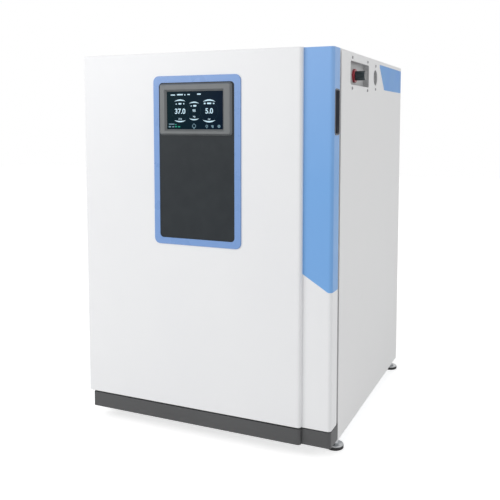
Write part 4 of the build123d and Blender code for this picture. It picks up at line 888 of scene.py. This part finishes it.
def bar(x, z, width, height):
    placeX, placeZ = onScreen(x, z)
    depth = display["sink"] + display["proud"]
    bpy.ops.mesh.primitive_plane_add(size=1,
                                     location=(placeX, screenFront + display["sink"], placeZ),
                                     rotation=(math.pi / 2, 0, 0))
    piece = bpy.context.object
    piece.scale = (width * mm, height * mm, 1)
    fixPlace(piece)
    openMesh(piece)
    bpy.ops.mesh.select_mode(type="VERT")
    bpy.ops.mesh.bevel(offset=min(width, height) * display["cornerShare"] * mm, segments=4,
                       affect="VERTICES")
    bpy.ops.mesh.select_mode(type="FACE")
    bpy.ops.mesh.select_all(action="SELECT")
    bpy.ops.mesh.extrude_region_move(TRANSFORM_OT_translate={"value": (0, -depth, 0)})
    bpy.ops.mesh.select_all(action="SELECT")
    bpy.ops.mesh.normals_make_consistent(inside=False)
    bpy.ops.object.mode_set(mode="OBJECT")
    return piece


def number(text, x, z, size, weight):
    # weight is how much the strokes are thickened, as a share of the size
    placeX, placeZ = onScreen(x, z)
    bpy.ops.object.text_add(location=(placeX, screenFront - display["proud"] / 4, placeZ),
                            rotation=(math.pi / 2, 0, 0))
    piece = bpy.context.object
    piece.data.body = text
    piece.data.size = size * mm
    piece.data.align_x = "CENTER"
    piece.data.align_y = "CENTER"
    piece.data.offset = weight * size * mm
    piece.data.extrude = (display["sink"] + display["proud"]) / 2
    takeUp(piece)
    bpy.ops.object.convert(target="MESH")
    piece = bpy.context.object
    openMesh(piece)
    bpy.ops.mesh.remove_doubles(threshold=0.000001)
    bpy.ops.object.mode_set(mode="OBJECT")
    fixPlace(piece)
    return piece


def putOnScreen(name, parts, finish):
    finishPiece(joinAll(name, parts), name, finish, "outer_door")


def makeDisplay():
    arcs, outlines, values = [], [], []
    for dial in dials.values():
        x, z = dial["x"], dial["z"]
        for up in (1, -1):
            arcs.append(crescent(x, z, dial["radius"], dial["chord"], dial["thick"], up))
        outlines.append(thinRing(x, z, dial["radius"] - display["ringInset"], display["ringWidth"]))
        values.append(number(dial["value"], x, z + dial["drop"] + 1, dial["size"],
                             display["valueWeight"]))
    small = [number(*place, display["numberWeight"]) for place in smallNumbers]
    putOnScreen("dialArcs", arcs, "glowPale")
    putOnScreen("dialRings", outlines, "dialTeal")
    putOnScreen("displayValues", values, "glowPale")
    putOnScreen("displaySmallMarks", small + [bar(*place) for place in bars], "glowPale")
    putOnScreen("displayStatusBars", [bar(*place) for place in greyBars], "glowDim")
    putOnScreen("displayGreenBars", [bar(*place) for place in greenBars], "glowGreen")


def makeDrop():
    # a ring whose upper part is drawn in and up to a point
    piece = thinRing(drop["x"], drop["z"], *drop["ring"])
    openMesh(piece)
    bpy.ops.mesh.select_mode(type="VERT")
    shape = bmesh.from_edit_mesh(piece.data)
    middleX, shoulderZ = onScreen(drop["x"], drop["z"] + drop["shoulder"])
    bpy.ops.mesh.select_all(action="DESELECT")
    for vertex in shape.verts:
        if vertex.co.z > shoulderZ:
            vertex.select_set(True)
    shape.select_flush(True)
    bmesh.update_edit_mesh(piece.data)
    bpy.ops.transform.resize(value=drop["point"], center_override=(middleX, screenFront, shoulderZ))
    bpy.ops.object.mode_set(mode="OBJECT")
    return piece


def makeSigns():
    # a drop at the bottom in the middle and three small signs at the right
    signs = [makeDrop(), bar(*dropFoot)] + [thinRing(*place) for place in signRings]
    putOnScreen("displaySigns", signs + [bar(*place) for place in signBars], "glowDim")


putDown()
makeDisplay()
makeSigns()
print("display made")


# Studio: pale floor, white surroundings, soft light

studio = {"floorSize": 16, "floorTone": 0.78, "floorLift": 0.62, "surround": 0.5}
lamps = {
    "keyLamp": {"place": (-2.4, -3.2, 2.2), "size": 3.0, "power": 92},
    "fillLamp": {"place": (3.4, -0.6, 1.6), "size": 2.5, "power": 23},
}
lampTarget = Vector((0, 0, 0.45))


def whiteRays(tree):
    # 1 for what is seen, mirrored or seen through glass, and 0 for the light that falls on things
    path = tree.nodes.new("ShaderNodeLightPath")
    seen = mathIn(tree, "ADD", path.outputs["Is Camera Ray"], path.outputs["Is Glossy Ray"])
    seen = mathIn(tree, "ADD", seen, path.outputs["Is Transmission Ray"])
    return mathIn(tree, "MINIMUM", seen, 1.0)


def makeFloor():
    putDown()
    bpy.ops.mesh.primitive_plane_add(size=studio["floorSize"])
    floor = bpy.context.object
    floor.name = "studioFloor"
    material, tree, shader, place = startMaterial("studioFloor", {"Roughness": 0.7,
                                                                  "Specular IOR Level": 0.1})
    tone = studio["floorTone"]
    shader.inputs["Base Color"].default_value = (tone, tone, tone, 1)
    glow = tree.nodes.new("ShaderNodeEmission")
    lift = mathIn(tree, "MULTIPLY", whiteRays(tree), studio["floorLift"])
    link(tree, lift, glow.inputs["Strength"])
    both = tree.nodes.new("ShaderNodeAddShader")
    link(tree, shader.outputs[0], both.inputs[0])
    link(tree, glow.outputs[0], both.inputs[1])
    link(tree, both.outputs[0], tree.nodes["Material Output"].inputs["Surface"])
    floor.data.materials.append(material)


def makeSurroundings():
    world = bpy.data.worlds.new("studioWorld")
    scene.world = world
    world.use_nodes = True
    tree = world.node_tree
    light = tree.nodes["Background"]
    light.inputs["Color"].default_value = (1, 1, 1, 1)
    light.inputs["Strength"].default_value = studio["surround"]
    white = tree.nodes.new("ShaderNodeBackground")
    white.inputs["Color"].default_value = (1, 1, 1, 1)
    white.inputs["Strength"].default_value = 1.0
    mix = tree.nodes.new("ShaderNodeMixShader")
    link(tree, whiteRays(tree), mix.inputs[0])
    link(tree, light.outputs[0], mix.inputs[1])
    link(tree, white.outputs[0], mix.inputs[2])
    link(tree, mix.outputs[0], tree.nodes["World Output"].inputs["Surface"])


def addLamps():
    for name, look in lamps.items():
        data = bpy.data.lights.new(name, "AREA")
        data.shape = "SQUARE"
        data.size = look["size"]
        data.energy = look["power"]
        lamp = bpy.data.objects.new(name, data)
        lamp.location = look["place"]
        aim = lampTarget - Vector(look["place"])
        lamp.rotation_euler = aim.to_track_quat("-Z", "Y").to_euler()
        scene.collection.objects.link(lamp)


makeFloor()
makeSurroundings()
addLamps()
putDown()
print("studio made")
